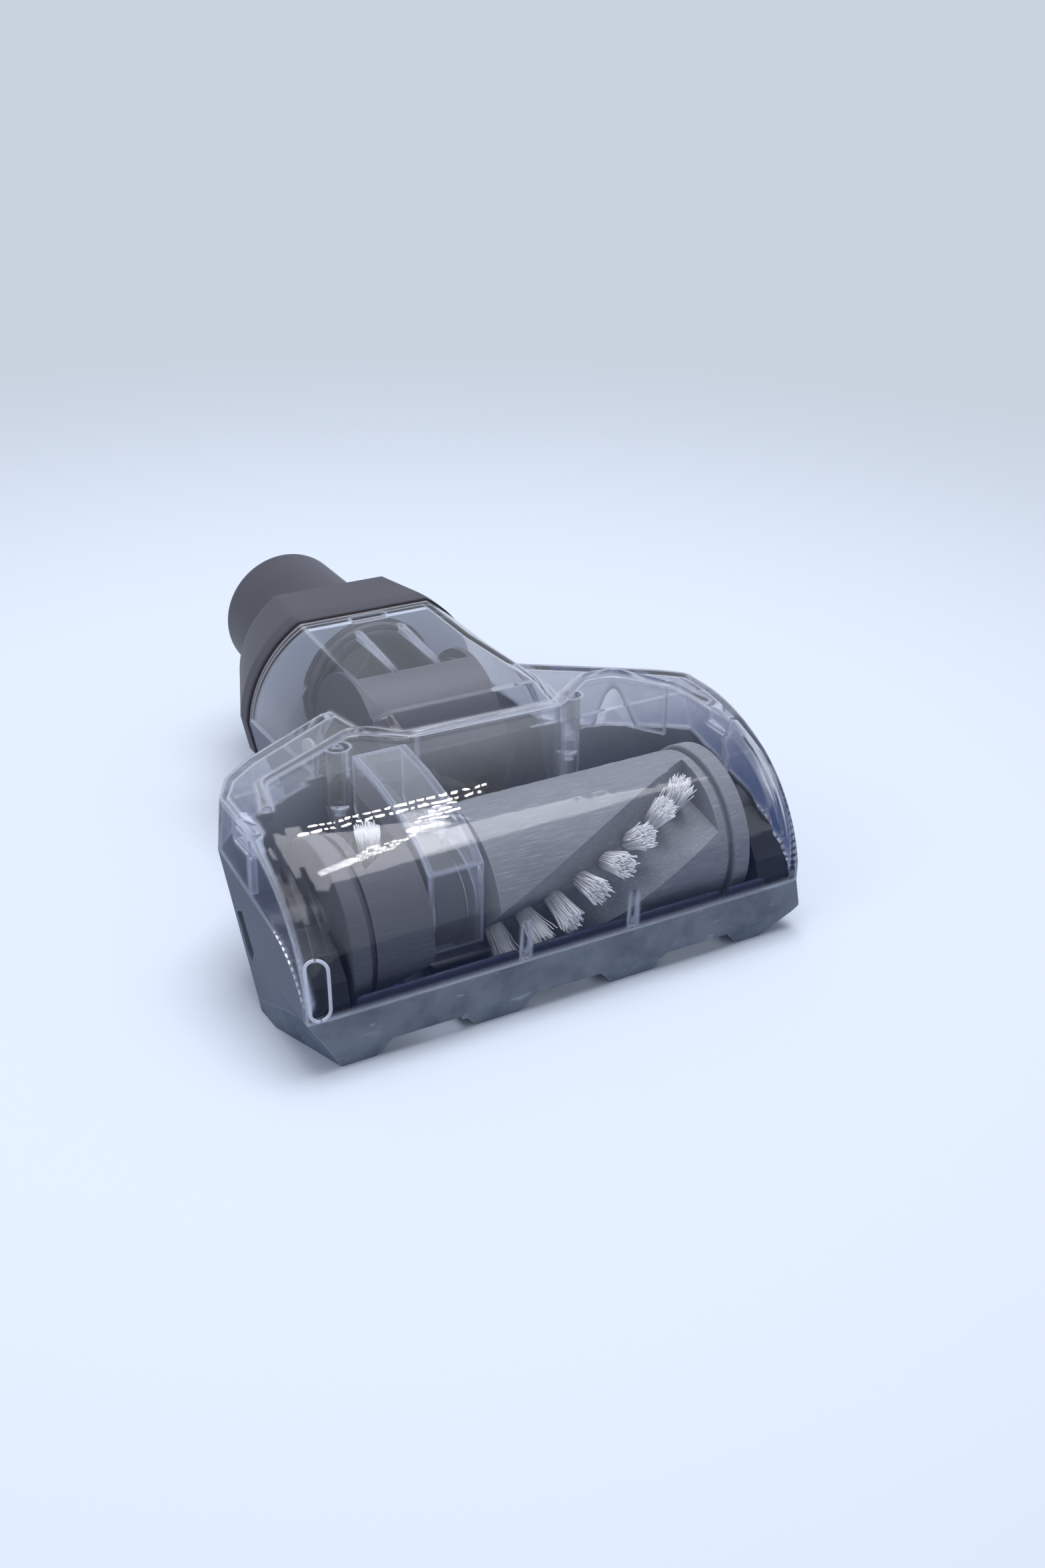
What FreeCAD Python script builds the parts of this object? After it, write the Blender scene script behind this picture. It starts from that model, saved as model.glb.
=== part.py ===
import FreeCAD, Part
import math
import os
from FreeCAD import Vector

# Air driven turbo brush for a vacuum cleaner hose, in millimetres.
# X runs across the head, +Y from the front lip back to the hose nozzle, +Z up from the floor.
# The shapes are made with the front lip at Y = 0 and are moved at the end, so that the part's
# origin is the middle of the floor area that it covers.

# Driving dimensions of the head
HEAD_WIDTH = 140.0
LIP_HEIGHT = 15.0
KNEE_HEIGHT = 7.0
PARTING_HEIGHT = 36.0
HEAD_TOP = 52.8
WING_FLARE = 1.0
COVER_WALL = 2.0
HOUSING_WALL = 2.2
FIT_GAP = 0.15

# Driving dimensions of the brush roll
ROLL_Y = 26.0
ROLL_Z = 23.3
ROLL_HOOD_GAP = 2.5
ROLL_END_INSET = 13.5
FLANGE_RADIUS = 21.5
FLANGE_THICKNESS = 4.9
GROOVE_RADIUS = 19.4
GROOVE_WIDTH = 1.6
RIM_WIDTH = 2.3
BARREL_RADIUS = 20.7
VALLEY_RADIUS = 12.0
AXLE_RADIUS = 3.0
AXLE_END_INSET = 5.0
BUSH_RADIUS = 5.0
BUSH_END_INSET = 4.5
BLOCK_WALL = 3.2
WASHER_RADIUS = 7.0
WASHER_GAP = 0.25
END_GAP = 2.0
SEAT_GAP = 0.02
RUNNING_GAP = 0.05

# Driving dimensions of the tufts, and how each edge of a valley turns along the roll: its angle in
# degrees from straight up at the first tuft, and its turn for each millimetre from there to the left
TUFT_PITCH = 7.84
TUFT_ROOT_RADIUS = 2.3
TUFT_TIP_RADIUS = 3.1
TUFT_REACH = 23.0
TUFT_HOLE_DEPTH = 3.0
TUFT_STEM = 4.0
TUFT_WALL = 0.5
FIRST_TUFT_INSET = 6.1
LEAD_EDGE = (9.5, 1.2)
TUFT_ROW = (26.4, 1.81)
TRAIL_EDGE = (73.8, 1.5)

# Driving dimensions of the belt drive
BELT_WIDTH = 8.0
BELT_THICKNESS = 1.4
BELT_GAP = 0.3
BRUSH_PULLEY_RADIUS = 10.5
TURBINE_PULLEY_RADIUS = 5.25
PULLEY_TEETH = 24
TOOTH_DEPTH = 0.7
PULLEY_CHEEK = 0.8
PULLEY_GAP = 0.8
BARREL_GAP = 9.0
GUARD_WALL = 1.4
GUARD_HALF_WIDTH = 7.5

# Driving dimensions of the turbine
TURBINE_INSET = 29.5
TURBINE_Z = 33.4
TURBINE_RADIUS = 19.3
TURBINE_CLEARANCE = 0.8
TURBINE_HALF_LENGTH = 16.0
TURBINE_WALL = 1.6
TURBINE_HUB_RADIUS = 7.0
BLADE_COUNT = 10
BLADE_THICKNESS = 1.3
BLADE_SWEEP = 32.0
TURBINE_DISC = 1.4
SHAFT_RADIUS = 2.5
BEARING_RADIUS = 5.5
BEARING_WIDTH = 3.5
BEARING_BOSS = 2.0

# Driving dimensions of the neck, collar and nozzle
NECK_START_Y = 48.0
NECK_CREASE_Y = 66.0
NECK_BELLY_INSET = 22.5
NECK_END_Y = 117.5
GASKET_THICKNESS = 0.6
COLLAR_LENGTH = 24.5
COLLAR_BAND = 5.0
COLLAR_STEP = 0.5
COLLAR_WALL = 2.2
NOZZLE_LENGTH = 35.6
NOZZLE_Z = 38.5
NOZZLE_RADIUS = 19.6
NOZZLE_BORE = 16.0
NOZZLE_BORE_DEPTH = 32.0
NOZZLE_STOP_BORE = 14.8
SPIGOT_RADIUS = 17.8
SPIGOT_REACH = 7.0
SLEEVE_RADIUS = 19.9
SLEEVE_REACH = 3.6
REAR_PLATE_THICKNESS = 1.5
RING_WIDTH = 2.4
SWIVEL_GAP = 0.4

# Driving dimensions of the sole and the fasteners
SOLE_THICKNESS = 3.5
SOLE_BACK_Y = 56.0
MOUTH_MARGIN = 0.8
MOUTH_FRONT_Y = 6.0
MOUTH_BACK_Y = 45.5
FOOT_PITCH = 39.0
FOOT_WIDTH = 12.0
FOOT_RAMP = 4.0
FOOT_HEIGHT = 4.5
SCREW_RADIUS = 1.5
SCREW_HEAD_RADIUS = 2.9
SCREW_HEAD_HEIGHT = 1.8
RECESS_LENGTH = 3.2
RECESS_WIDTH = 0.7
SCREW_HOLE_GAP = 0.2
SCREW_HEAD_GAP = 0.4
BOSS_RADIUS = 3.0
BOSS_JOINT_Z = 22.0
SCREW_SEAT_Z = 9.0
SCREW_BITE = 10.0
SOLE_BOSS_TOP = 10.0
SOLE_SCREW_INSET = 20.0
SOLE_SCREW_Y = 48.8
MIDDLE_SCREW_Y = 53.0
COVER_SCREW_X = 34.5
COVER_SCREW_Y = 60.0

# Driving dimensions of the cover's small features
FIN_PLACES = (-12.0, 19.0)
FIN_WIDTH = 2.2
FRAME_FRONT_Y = 30.6
FRAME_LENGTH = 10.6
FRAME_BOTTOM = 43.4
FRAME_HEIGHT = 5.8
FRAME_WALL = 1.3
FRAME_RIB_BOTTOM = 33.0
NECK_RIBS = (-6.0, 7.0)
NECK_RIB_THICKNESS = 1.0
SNAP_SLOT_WIDTH = 10.5
SNAP_SLOT_LENGTH = 1.7
SNAP_SLOT_INSET = 3.4
CHAMBER_WALL = 1.2
CHAMBER_WALL_BOTTOM = 26.0
BEAD_RADIUS = 1.3
BEAD_CORNER = 5.0

# Half sections (x, z) of the neck's end and the collar's end, from the top edge to the bottom edge
REAR_SECTION = [(19.8, 60.8), (30.6, 50.6), (36.4, 33.6), (34.1, 22.8), (19.0, 9.0)]
COLLAR_REAR_SECTION = [(17.2, 60.2), (25.6, 51.5), (29.5, 37.0), (27.6, 26.0), (15.5, 16.5)]

# Sizes worked out from the driving ones
HALF_WIDTH = HEAD_WIDTH / 2
COLLAR_END_Y = NECK_END_Y + COLLAR_LENGTH
TOTAL_LENGTH = COLLAR_END_Y + NOZZLE_LENGTH
NECK_BELLY_Y = NECK_END_Y - NECK_BELLY_INSET
SPIGOT_FRONT_Y = NECK_END_Y - SPIGOT_REACH
SLEEVE_FRONT_Y = NECK_END_Y - SLEEVE_REACH
REAR_PLATE_Y = SLEEVE_FRONT_Y + REAR_PLATE_THICKNESS / 2
HOOD_RADIUS = FLANGE_RADIUS + ROLL_HOOD_GAP + COVER_WALL
HOOD_ANGLE = math.radians(20.0)
CROWN_RADIUS = 85.0
BAND_BACK_Y = 31.0
ROLL_HALF_LENGTH = HALF_WIDTH - ROLL_END_INSET
AXLE_END = HALF_WIDTH - AXLE_END_INSET
BUSH_END = HALF_WIDTH - BUSH_END_INSET
MOUTH_HALF_WIDTH = ROLL_HALF_LENGTH + MOUTH_MARGIN
BARREL_END = ROLL_HALF_LENGTH - FLANGE_THICKNESS - GROOVE_WIDTH - RIM_WIDTH
FIRST_TUFT_X = BARREL_END - FIRST_TUFT_INSET
TURBINE_Y = NECK_END_Y - TURBINE_INSET
TURBINE_SHELL_RADIUS = TURBINE_RADIUS + TURBINE_CLEARANCE + TURBINE_WALL
PLATE_OUT = TURBINE_HALF_LENGTH + TURBINE_CLEARANCE + TURBINE_WALL
HALF_PULLEY = BELT_WIDTH / 2 + PULLEY_CHEEK
BELT_X = -(PLATE_OUT + BEARING_BOSS + PULLEY_GAP + HALF_PULLEY)
BARREL_LEFT_END = BELT_X - BARREL_GAP
BARREL_RIGHT_END = BELT_X + BARREL_GAP
COVER_SCREWS = [(-COVER_SCREW_X, COVER_SCREW_Y), (COVER_SCREW_X, COVER_SCREW_Y)]
SOLE_SCREW_X = HALF_WIDTH - SOLE_SCREW_INSET
SOLE_SCREWS = [(-SOLE_SCREW_X, SOLE_SCREW_Y), (0.0, MIDDLE_SCREW_Y), (SOLE_SCREW_X, SOLE_SCREW_Y)]
END_BLOCK_IN = ROLL_HALF_LENGTH + END_GAP
END_BLOCK_OUT = HALF_WIDTH - HOUSING_WALL - FIT_GAP
FAR = 200.0

# Plan of the chamber wall and of the bead above it, as (x, y) points from left to right
CHAMBER_PATH = [
    (-14.0, 56.3), (28.0, 55.5), (HALF_WIDTH - 28.0, 67.0), (HALF_WIDTH - 18.0, 66.0),
    (HALF_WIDTH - 9.0, 52.5),
]
BEAD_PATH = [
    (6.5 - HALF_WIDTH, 36.0), (10.0 - HALF_WIDTH, 49.0), (-28.0, 66.0), (-17.0, 56.5), (28.0, 55.5),
    (HALF_WIDTH - 28.0, 67.0), (HALF_WIDTH - 18.0, 66.0), (HALF_WIDTH - 8.0, 51.0), (HALF_WIDTH - 5.5, 36.0),
]


def box(x0, x1, y0, y1, z0, z1):
    """Box between two corners."""
    return Part.makeBox(x1 - x0, y1 - y0, z1 - z0, Vector(x0, y0, z0))


def rod_x(radius, x0, x1, y, z):
    """Cylinder along X about the line (y, z)."""
    return Part.makeCylinder(radius, x1 - x0, Vector(x0, y, z), Vector(1, 0, 0))


def rod_y(radius, y0, y1, x, z):
    """Cylinder along Y about the line (x, z)."""
    return Part.makeCylinder(radius, y1 - y0, Vector(x, y0, z), Vector(0, 1, 0))


def rod_z(radius, z0, z1, x, y):
    """Upright cylinder about the line (x, y)."""
    return Part.makeCylinder(radius, z1 - z0, Vector(x, y, z0), Vector(0, 0, 1))


def prism_x(outline, x0, x1):
    """Prism along X from an outline of (y, z) points."""
    points = [Vector(x0, y, z) for y, z in outline]
    face = Part.Face(Part.makePolygon(points + points[:1]))
    return face.extrude(Vector(x1 - x0, 0, 0))


def fused(shapes):
    """One solid from solids that meet."""
    whole = shapes[0].fuse(shapes[1:]) if len(shapes) > 1 else shapes[0]
    return whole.removeSplitter()


def both_sides(make):
    """A piece and its mirror image about the middle plane."""
    piece = make()
    return [piece, piece.mirror(Vector(0, 0, 0), Vector(1, 0, 0))]


def polar(centre_y, centre_z, radius, angle):
    """Point (y, z) at an angle from straight up, turned towards the front."""
    return (centre_y - radius * math.sin(angle), centre_z + radius * math.cos(angle))


def moved_towards(point, centre, distance):
    """Point (y, z) moved towards a centre by a distance."""
    dy, dz = centre[0] - point[0], centre[1] - point[1]
    length = math.hypot(dy, dz)
    return (point[0] + dy * distance / length, point[1] + dz * distance / length)


# Outer form of the head

def middle_arch(inset):
    """Key points (y, z) of the hood's section where it runs round the brush roll."""
    radius = HOOD_RADIUS - inset
    join = polar(ROLL_Y, ROLL_Z, HOOD_RADIUS, HOOD_ANGLE)
    crown = (join[0] + CROWN_RADIUS * math.sin(HOOD_ANGLE), join[1] - CROWN_RADIUS * math.cos(HOOD_ANGLE))
    front = ROLL_Y - radius
    half_way = (math.pi / 2 + HOOD_ANGLE) / 2
    return [
        (front + 1.5, -1.0), (front, 5.5), (front, ROLL_Z),
        polar(ROLL_Y, ROLL_Z, radius, half_way), polar(ROLL_Y, ROLL_Z, radius, HOOD_ANGLE),
        polar(crown[0], crown[1], CROWN_RADIUS - inset, HOOD_ANGLE / 2), (crown[0], HEAD_TOP - inset),
        (FAR / 2, HEAD_TOP - inset - 2.0), (FAR / 2, -1.0),
    ]


def end_arch(inset):
    """Key points (y, z) of the hood's section at the rounded ends of the head."""
    centre = (ROLL_Y + 19.0, 9.0)
    front = ROLL_Y - HOOD_RADIUS
    points = [
        (front + 1.0, 17.5), (front + 9.8, 32.0), (front + 21.3, 43.6),
        (front + 33.0, 49.6), (front + 46.3, HEAD_TOP - 1.0),
    ]
    arch = [moved_towards(point, centre, inset) for point in points]
    base = [(front + inset + 1.5, -1.0), (front + inset, 5.5)]
    return base + arch + [(FAR / 2, HEAD_TOP - inset - 3.0), (FAR / 2, -1.0)]


def arch_wire(x, share, inset):
    """Closed section at x, blended from the middle arch to the end arch by a share."""
    middle, end = middle_arch(inset), end_arch(inset)
    p = [Vector(x, a[0] + (b[0] - a[0]) * share, a[1] + (b[1] - a[1]) * share) for a, b in zip(middle, end)]
    edges = [
        Part.LineSegment(p[0], p[1]), Part.LineSegment(p[1], p[2]), Part.Arc(p[2], p[3], p[4]),
        Part.Arc(p[4], p[5], p[6]), Part.LineSegment(p[6], p[7]), Part.LineSegment(p[7], p[8]),
        Part.LineSegment(p[8], p[0]),
    ]
    return Part.Wire([edge.toShape() for edge in edges])


def hood_form(inset):
    """Solid under the hood's arch, with its ends rounded down to the end arch."""
    round_length, steps = 11.0, 5
    stations = []
    for k in range(steps + 1):
        turn = math.pi / 2 * k / steps
        stations.append((HALF_WIDTH + 1.5 - inset - round_length * (1 - math.sin(turn)), 1 - math.cos(turn)))
    wires = [arch_wire(-x, share, inset) for x, share in reversed(stations)]
    wires += [arch_wire(x, share, inset) for x, share in stations]
    return Part.makeLoft(wires, True, True)


def half_plan(level, side):
    """Half of the head's outline from above, on the left (-1) or right (1), from front to neck."""
    end, wing = HALF_WIDTH, HALF_WIDTH + WING_FLARE
    shared = {
        "floor": [
            (end - 0.9, 23.0), (end - 0.5, BAND_BACK_Y), (end - 10.0, 50.0), (end - 18.0, 52.6),
            (32.0, 59.0),
        ],
        "knee": [(end - 0.4, 21.6), (end - 0.1, 34.3), (end - 8.8, 52.3), (end - 17.0, 55.5), (32.0, 63.7)],
        "lip": [(end + 0.2, 20.0), (end + 0.4, 38.0), (end - 7.5, 55.0), (end - 16.0, 58.9), (32.0, 69.0)],
    }
    left = {
        "parting": [(end + 0.3, 20.0), (wing, 51.0), (end - 3.5, 56.5), (end - 12.0, 62.0), (32.0, 77.5)],
        "top": [(end + 0.3, 20.0), (wing, 46.5), (end - 3.5, 55.5), (end - 12.0, 63.5), (30.0, 80.5)],
    }
    right = {
        "parting": [(end + 0.3, 20.0), (wing, 52.0), (end - 5.0, 57.5), (end - 14.0, 63.9), (32.0, 81.0)],
        "top": [(end + 0.3, 20.0), (wing, 58.5), (end - 5.0, 62.8), (end - 14.0, 69.3), (32.0, 86.5)],
    }
    fronts = {"floor": end - 10.8, "knee": end - 5.8, "lip": end, "parting": end, "top": end}
    if side > 0:
        fronts.update({"floor": end - 13.0, "knee": end + 2.2})
    plan = {**shared, **(right if side > 0 else left)}
    return [(fronts[level], -5.0)] + plan[level]


def inset_outline(points, distance):
    """Closed anticlockwise outline with every side moved inwards."""
    count = len(points)
    lines = []
    for k in range(count):
        (x0, y0), (x1, y1) = points[k], points[(k + 1) % count]
        length = math.hypot(x1 - x0, y1 - y0)
        nx, ny = -(y1 - y0) / length, (x1 - x0) / length
        lines.append((x0 + nx * distance, y0 + ny * distance, x1 - x0, y1 - y0))
    result = []
    for k in range(count):
        ax, ay, adx, ady = lines[k - 1]
        bx, by, bdx, bdy = lines[k]
        share = ((bx - ax) * bdy - (by - ay) * bdx) / (adx * bdy - ady * bdx)
        result.append((ax + adx * share, ay + ady * share))
    return result


def plan_form(inset):
    """Solid between the head's outlines at the floor, knee, lip, parting line and top."""
    levels = [
        ("floor", 0.0), ("knee", KNEE_HEIGHT), ("lip", LIP_HEIGHT), ("parting", PARTING_HEIGHT),
        ("top", HEAD_TOP + 4.0),
    ]
    wires = []
    for level, height in levels:
        right = half_plan(level, 1)
        left = [(-x, y) for x, y in reversed(half_plan(level, -1))]
        outline = inset_outline(right + left, inset)
        points = [Vector(x, y, height) for x, y in outline]
        wires.append(Part.makePolygon(points + points[:1]))
    return Part.makeLoft(wires, True, True)


def head_form(inset):
    """Head of the tool, drawn in by an inset."""
    return hood_form(inset).common(plan_form(inset))


# Outer form of the neck and the collar

def neck_wire(y, left, right, inset):
    """Closed section at y from its left and right key points (x, z), drawn in by an inset."""
    def drawn_in(points, side):
        top, shoulder, widest, low, bottom = points
        length = math.hypot(shoulder[0], shoulder[1] - widest[1])
        pull = 1 - inset / length
        return [
            Vector(side * (top[0] - inset * 0.6), y, top[1] - inset),
            Vector(side * shoulder[0] * pull, y, widest[1] + (shoulder[1] - widest[1]) * pull),
            Vector(side * (widest[0] - inset), y, widest[1]),
            Vector(side * (low[0] - inset), y, low[1]),
            Vector(side * (bottom[0] - inset * 0.6), y, bottom[1] + inset),
        ]
    a, b = drawn_in(left, -1.0), drawn_in(right, 1.0)
    edges = [
        Part.LineSegment(a[0], b[0]), Part.Arc(b[0], b[1], b[2]), Part.LineSegment(b[2], b[3]),
        Part.LineSegment(b[3], b[4]), Part.LineSegment(b[4], a[4]), Part.LineSegment(a[4], a[3]),
        Part.LineSegment(a[3], a[2]), Part.Arc(a[2], a[1], a[0]),
    ]
    return Part.Wire([edge.toShape() for edge in edges])


def neck_form(inset):
    """Neck from inside the head to the joint with the collar, drawn in by an inset."""
    start = [(18.0, 50.6), (27.0, 47.6), (35.0, 36.0), (34.0, 18.0), (29.0, 0.0)]
    start_right = [(28.0, 50.6), (32.5, 46.6), (35.0, 36.0), (34.0, 18.0), (29.0, 0.0)]
    crease = [(18.0, 55.6), (29.0, 49.4), (36.0, 36.0), (35.0, 18.0), (29.0, 0.0)]
    crease_right = [(28.0, 55.6), (33.8, 48.6), (36.0, 36.0), (35.0, 18.0), (29.0, 0.0)]
    belly = [(19.3, 58.5), (30.5, 50.2), (36.4, 34.8), (35.0, 19.0), (27.0, 0.0)]
    belly_right = [(22.0, 58.5), (31.6, 50.0), (36.4, 34.8), (35.0, 19.0), (27.0, 0.0)]
    front = neck_wire(NECK_START_Y, start, start_right, inset)
    middle = neck_wire(NECK_CREASE_Y, crease, crease_right, inset)
    back = neck_wire(NECK_BELLY_Y, belly, belly_right, inset)
    end = neck_wire(NECK_END_Y, REAR_SECTION, REAR_SECTION, inset)
    pieces = [
        Part.makeLoft([front, middle], True, True),
        Part.makeLoft([middle, back], True, True),
        Part.makeLoft([back, end], True, True),
    ]
    if inset > 0:
        beyond = neck_wire(NECK_END_Y + 1.0, REAR_SECTION, REAR_SECTION, inset)
        pieces.append(Part.makeLoft([end, beyond], True, True))
    return fused(pieces)


def band_region():
    """Space of the sole: its floor, its front wall and the band that falls back along the ends."""
    outline = [
        (-2.0, -2.0), (-2.0, LIP_HEIGHT), (2.4, LIP_HEIGHT), (BAND_BACK_Y, SOLE_THICKNESS),
        (SOLE_BACK_Y, SOLE_THICKNESS), (SOLE_BACK_Y, -2.0),
    ]
    return prism_x(outline, -FAR, FAR)


def below_parting():
    """Space under the line where the clear cover meets the grey housing."""
    corner, rise, flat = Vector(-FAR, 2.4, 17.6), Vector(-FAR, 8.2, 25.4), Vector(-FAR, 20.0, 30.6)
    path = [Vector(-FAR, -2, -2), Vector(-FAR, -2, LIP_HEIGHT), Vector(-FAR, 2.4, LIP_HEIGHT), corner]
    after = [
        flat, Vector(-FAR, 52, PARTING_HEIGHT + 0.4), Vector(-FAR, 66, PARTING_HEIGHT),
        Vector(-FAR, FAR, PARTING_HEIGHT - 4.0), Vector(-FAR, FAR, -2),
    ]
    edges = [Part.LineSegment(a, b).toShape() for a, b in zip(path, path[1:])]
    edges.append(Part.Arc(corner, rise, flat).toShape())
    edges += [Part.LineSegment(a, b).toShape() for a, b in zip(after, after[1:])]
    edges.append(Part.LineSegment(after[-1], path[0]).toShape())
    return Part.Face(Part.Wire(edges)).extrude(Vector(2 * FAR, 0, 0))


def rear_plate(cavity):
    """Upright plate that closes the neck round the collar's sleeve, clear of the cover."""
    slab = box(-FAR, FAR, REAR_PLATE_Y, REAR_PLATE_Y + REAR_PLATE_THICKNESS, -FAR, FAR)
    high = neck_form(COVER_WALL + 2 * FIT_GAP).common(slab)
    low = cavity.common(slab).common(below_parting())
    return fused([high, low]).cut(rod_y(SLEEVE_RADIUS + 2 * FIT_GAP, 0.0, FAR, 0.0, NOZZLE_Z))


def lower_housing(outer, cavity):
    """Grey moulded base: end walls, back walls, belly, bulkhead, rear plate and screw bosses."""
    shell = outer.cut(cavity).common(below_parting()).cut(band_region())
    bulkhead = box(-HALF_WIDTH, HALF_WIDTH, 50.5, 52.0, SOLE_THICKNESS, 20.0)
    lower_bosses = [rod_z(BOSS_RADIUS, SCREW_SEAT_Z - 4.0, BOSS_JOINT_Z, x, y) for x, y in COVER_SCREWS]
    sole_bosses = [rod_z(BOSS_RADIUS, SOLE_THICKNESS, SOLE_BOSS_TOP, x, y) for x, y in SOLE_SCREWS]
    inside = [piece.common(outer) for piece in [bulkhead] + lower_bosses + sole_bosses]
    whole = fused([shell, rear_plate(cavity)] + inside)
    belt_notch = box(BELT_X - GUARD_HALF_WIDTH, BELT_X + GUARD_HALF_WIDTH, 49.0, 53.0, 8.0, 30.0)
    air_port = box(-13.0, 24.0, 49.0, 51.99, 14.0, 30.0)
    whole = whole.cut(belt_notch).cut(air_port)
    for x, y in COVER_SCREWS:
        whole = whole.cut(rod_z(SCREW_RADIUS + SCREW_HOLE_GAP, -1.0, BOSS_JOINT_Z + 1.0, x, y))
        whole = whole.cut(rod_z(SCREW_HEAD_RADIUS + SCREW_HEAD_GAP, -1.0, SCREW_SEAT_Z, x, y))
    for x, y in SOLE_SCREWS:
        whole = whole.cut(rod_z(SCREW_RADIUS + SEAT_GAP, 0.0, SOLE_BOSS_TOP + 1.0, x, y))
    slot = [(41.2, 23.6), (38.0, 25.2), (31.8, 16.6), (33.6, 12.9), (36.0, 14.8)]
    return whole.cut(prism_x(slot, -FAR, FAR))


def sole_plate(outer, cavity):
    """Blue grey sole: front wall, band, floor with two mouths and four feet."""
    floor_cut = cavity.common(box(-FAR, FAR, -FAR, FAR, SOLE_THICKNESS, FAR))
    sole = outer.common(band_region()).cut(floor_cut)
    for x0, x1 in ((-MOUTH_HALF_WIDTH, BARREL_LEFT_END), (BARREL_RIGHT_END, MOUTH_HALF_WIDTH)):
        sole = sole.cut(box(x0, x1, MOUTH_FRONT_Y, MOUTH_BACK_Y, -1.0, SOLE_THICKNESS + 1))
    for k in range(3):
        middle = (k - 1) * FOOT_PITCH
        low = (FOOT_PITCH - FOOT_WIDTH) / 2
        high = low - FOOT_RAMP
        half = [(high, FOOT_HEIGHT), (low, 0.0), (low, -1.0)]
        points = [(-x, z) for x, z in reversed(half)] + half
        corners = [Vector(middle + x, -2.0, z) for x, z in points]
        arch = Part.Face(Part.makePolygon(corners + corners[:1])).extrude(Vector(0, MOUTH_FRONT_Y + 2.0, 0))
        sole = sole.cut(arch)
    for x, y in SOLE_SCREWS:
        sole = sole.cut(rod_z(SCREW_RADIUS + SCREW_HOLE_GAP, -1.0, SOLE_THICKNESS + 1, x, y))
        sole = sole.cut(rod_z(SCREW_HEAD_RADIUS + SCREW_HEAD_GAP, -1.0, SCREW_HEAD_HEIGHT, x, y))
    return sole


def rounded_path(points, radius, z):
    """Level path through points with its corners rounded."""
    corners = [Vector(x, y, z) for x, y in points]
    edges, start = [], corners[0]
    for before, corner, after in zip(corners, corners[1:], corners[2:]):
        inwards, outwards = (before - corner).normalize(), (after - corner).normalize()
        half_turn = inwards.getAngle(outwards) / 2
        reach = radius / math.tan(half_turn)
        arc_start, arc_end = corner + inwards * reach, corner + outwards * reach
        bisector = (inwards + outwards).normalize()
        middle = corner + bisector * (radius / math.sin(half_turn) - radius)
        edges.append(Part.LineSegment(start, arc_start).toShape())
        edges.append(Part.Arc(arc_start, middle, arc_end).toShape())
        start = arc_end
    edges.append(Part.LineSegment(start, corners[-1]).toShape())
    return Part.Wire(edges)


def cover_bead():
    """Round bead that outlines the brush chamber on top of the cover."""
    path = rounded_path(BEAD_PATH, BEAD_CORNER, HEAD_TOP - 0.6)
    start = path.Edges[0]
    first = start.FirstParameter
    circle = Part.makeCircle(BEAD_RADIUS, start.valueAt(first), start.tangentAt(first))
    return path.makePipeShell([Part.Wire([circle])], True, False)


def chamber_wall():
    """Upright wall under the bead, behind the right-hand side of the brush roll."""
    wire = rounded_path(CHAMBER_PATH, BEAD_CORNER, CHAMBER_WALL_BOTTOM)
    ribbon = wire.extrude(Vector(0, 0, HEAD_TOP - 1.0 - CHAMBER_WALL_BOTTOM))
    wall = ribbon.makeOffsetShape(CHAMBER_WALL, 0.01, fill=True)
    return wall.cut(box(COVER_SCREW_X + BOSS_RADIUS, FAR, 0.0, FAR, 0.0, PARTING_HEIGHT))


def front_fins():
    """Two upright fins inside the front of the hood, clear of the turning bristles."""
    outline = [
        (0.5, LIP_HEIGHT), (4.0, LIP_HEIGHT), (3.1, LIP_HEIGHT + 3.0), (2.7, ROLL_Z),
        (COVER_WALL, ROLL_Z + 3.5), (0.5, ROLL_Z + 3.5),
    ]
    return [prism_x(outline, x - FIN_WIDTH / 2, x + FIN_WIDTH / 2) for x in FIN_PLACES]


def end_frame():
    """Raised window frame inside the right-hand end of the hood, with a rib down from it."""
    inside = HALF_WIDTH - COVER_WALL - FRAME_WALL
    front, back = FRAME_FRONT_Y, FRAME_FRONT_Y + FRAME_LENGTH
    bottom, top = FRAME_BOTTOM, FRAME_BOTTOM + FRAME_HEIGHT
    wall, outside = FRAME_WALL, HALF_WIDTH - COVER_WALL + 0.5
    window = box(inside, HALF_WIDTH - 0.5, front, back, bottom, top)
    opening = box(inside - 1, HALF_WIDTH, front + wall, back - wall, bottom + wall, top - wall)
    rib = box(inside, outside, front + wall, front + 2 * wall, FRAME_RIB_BOTTOM, bottom + 0.5)
    return fused([window.cut(opening), rib])


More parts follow.
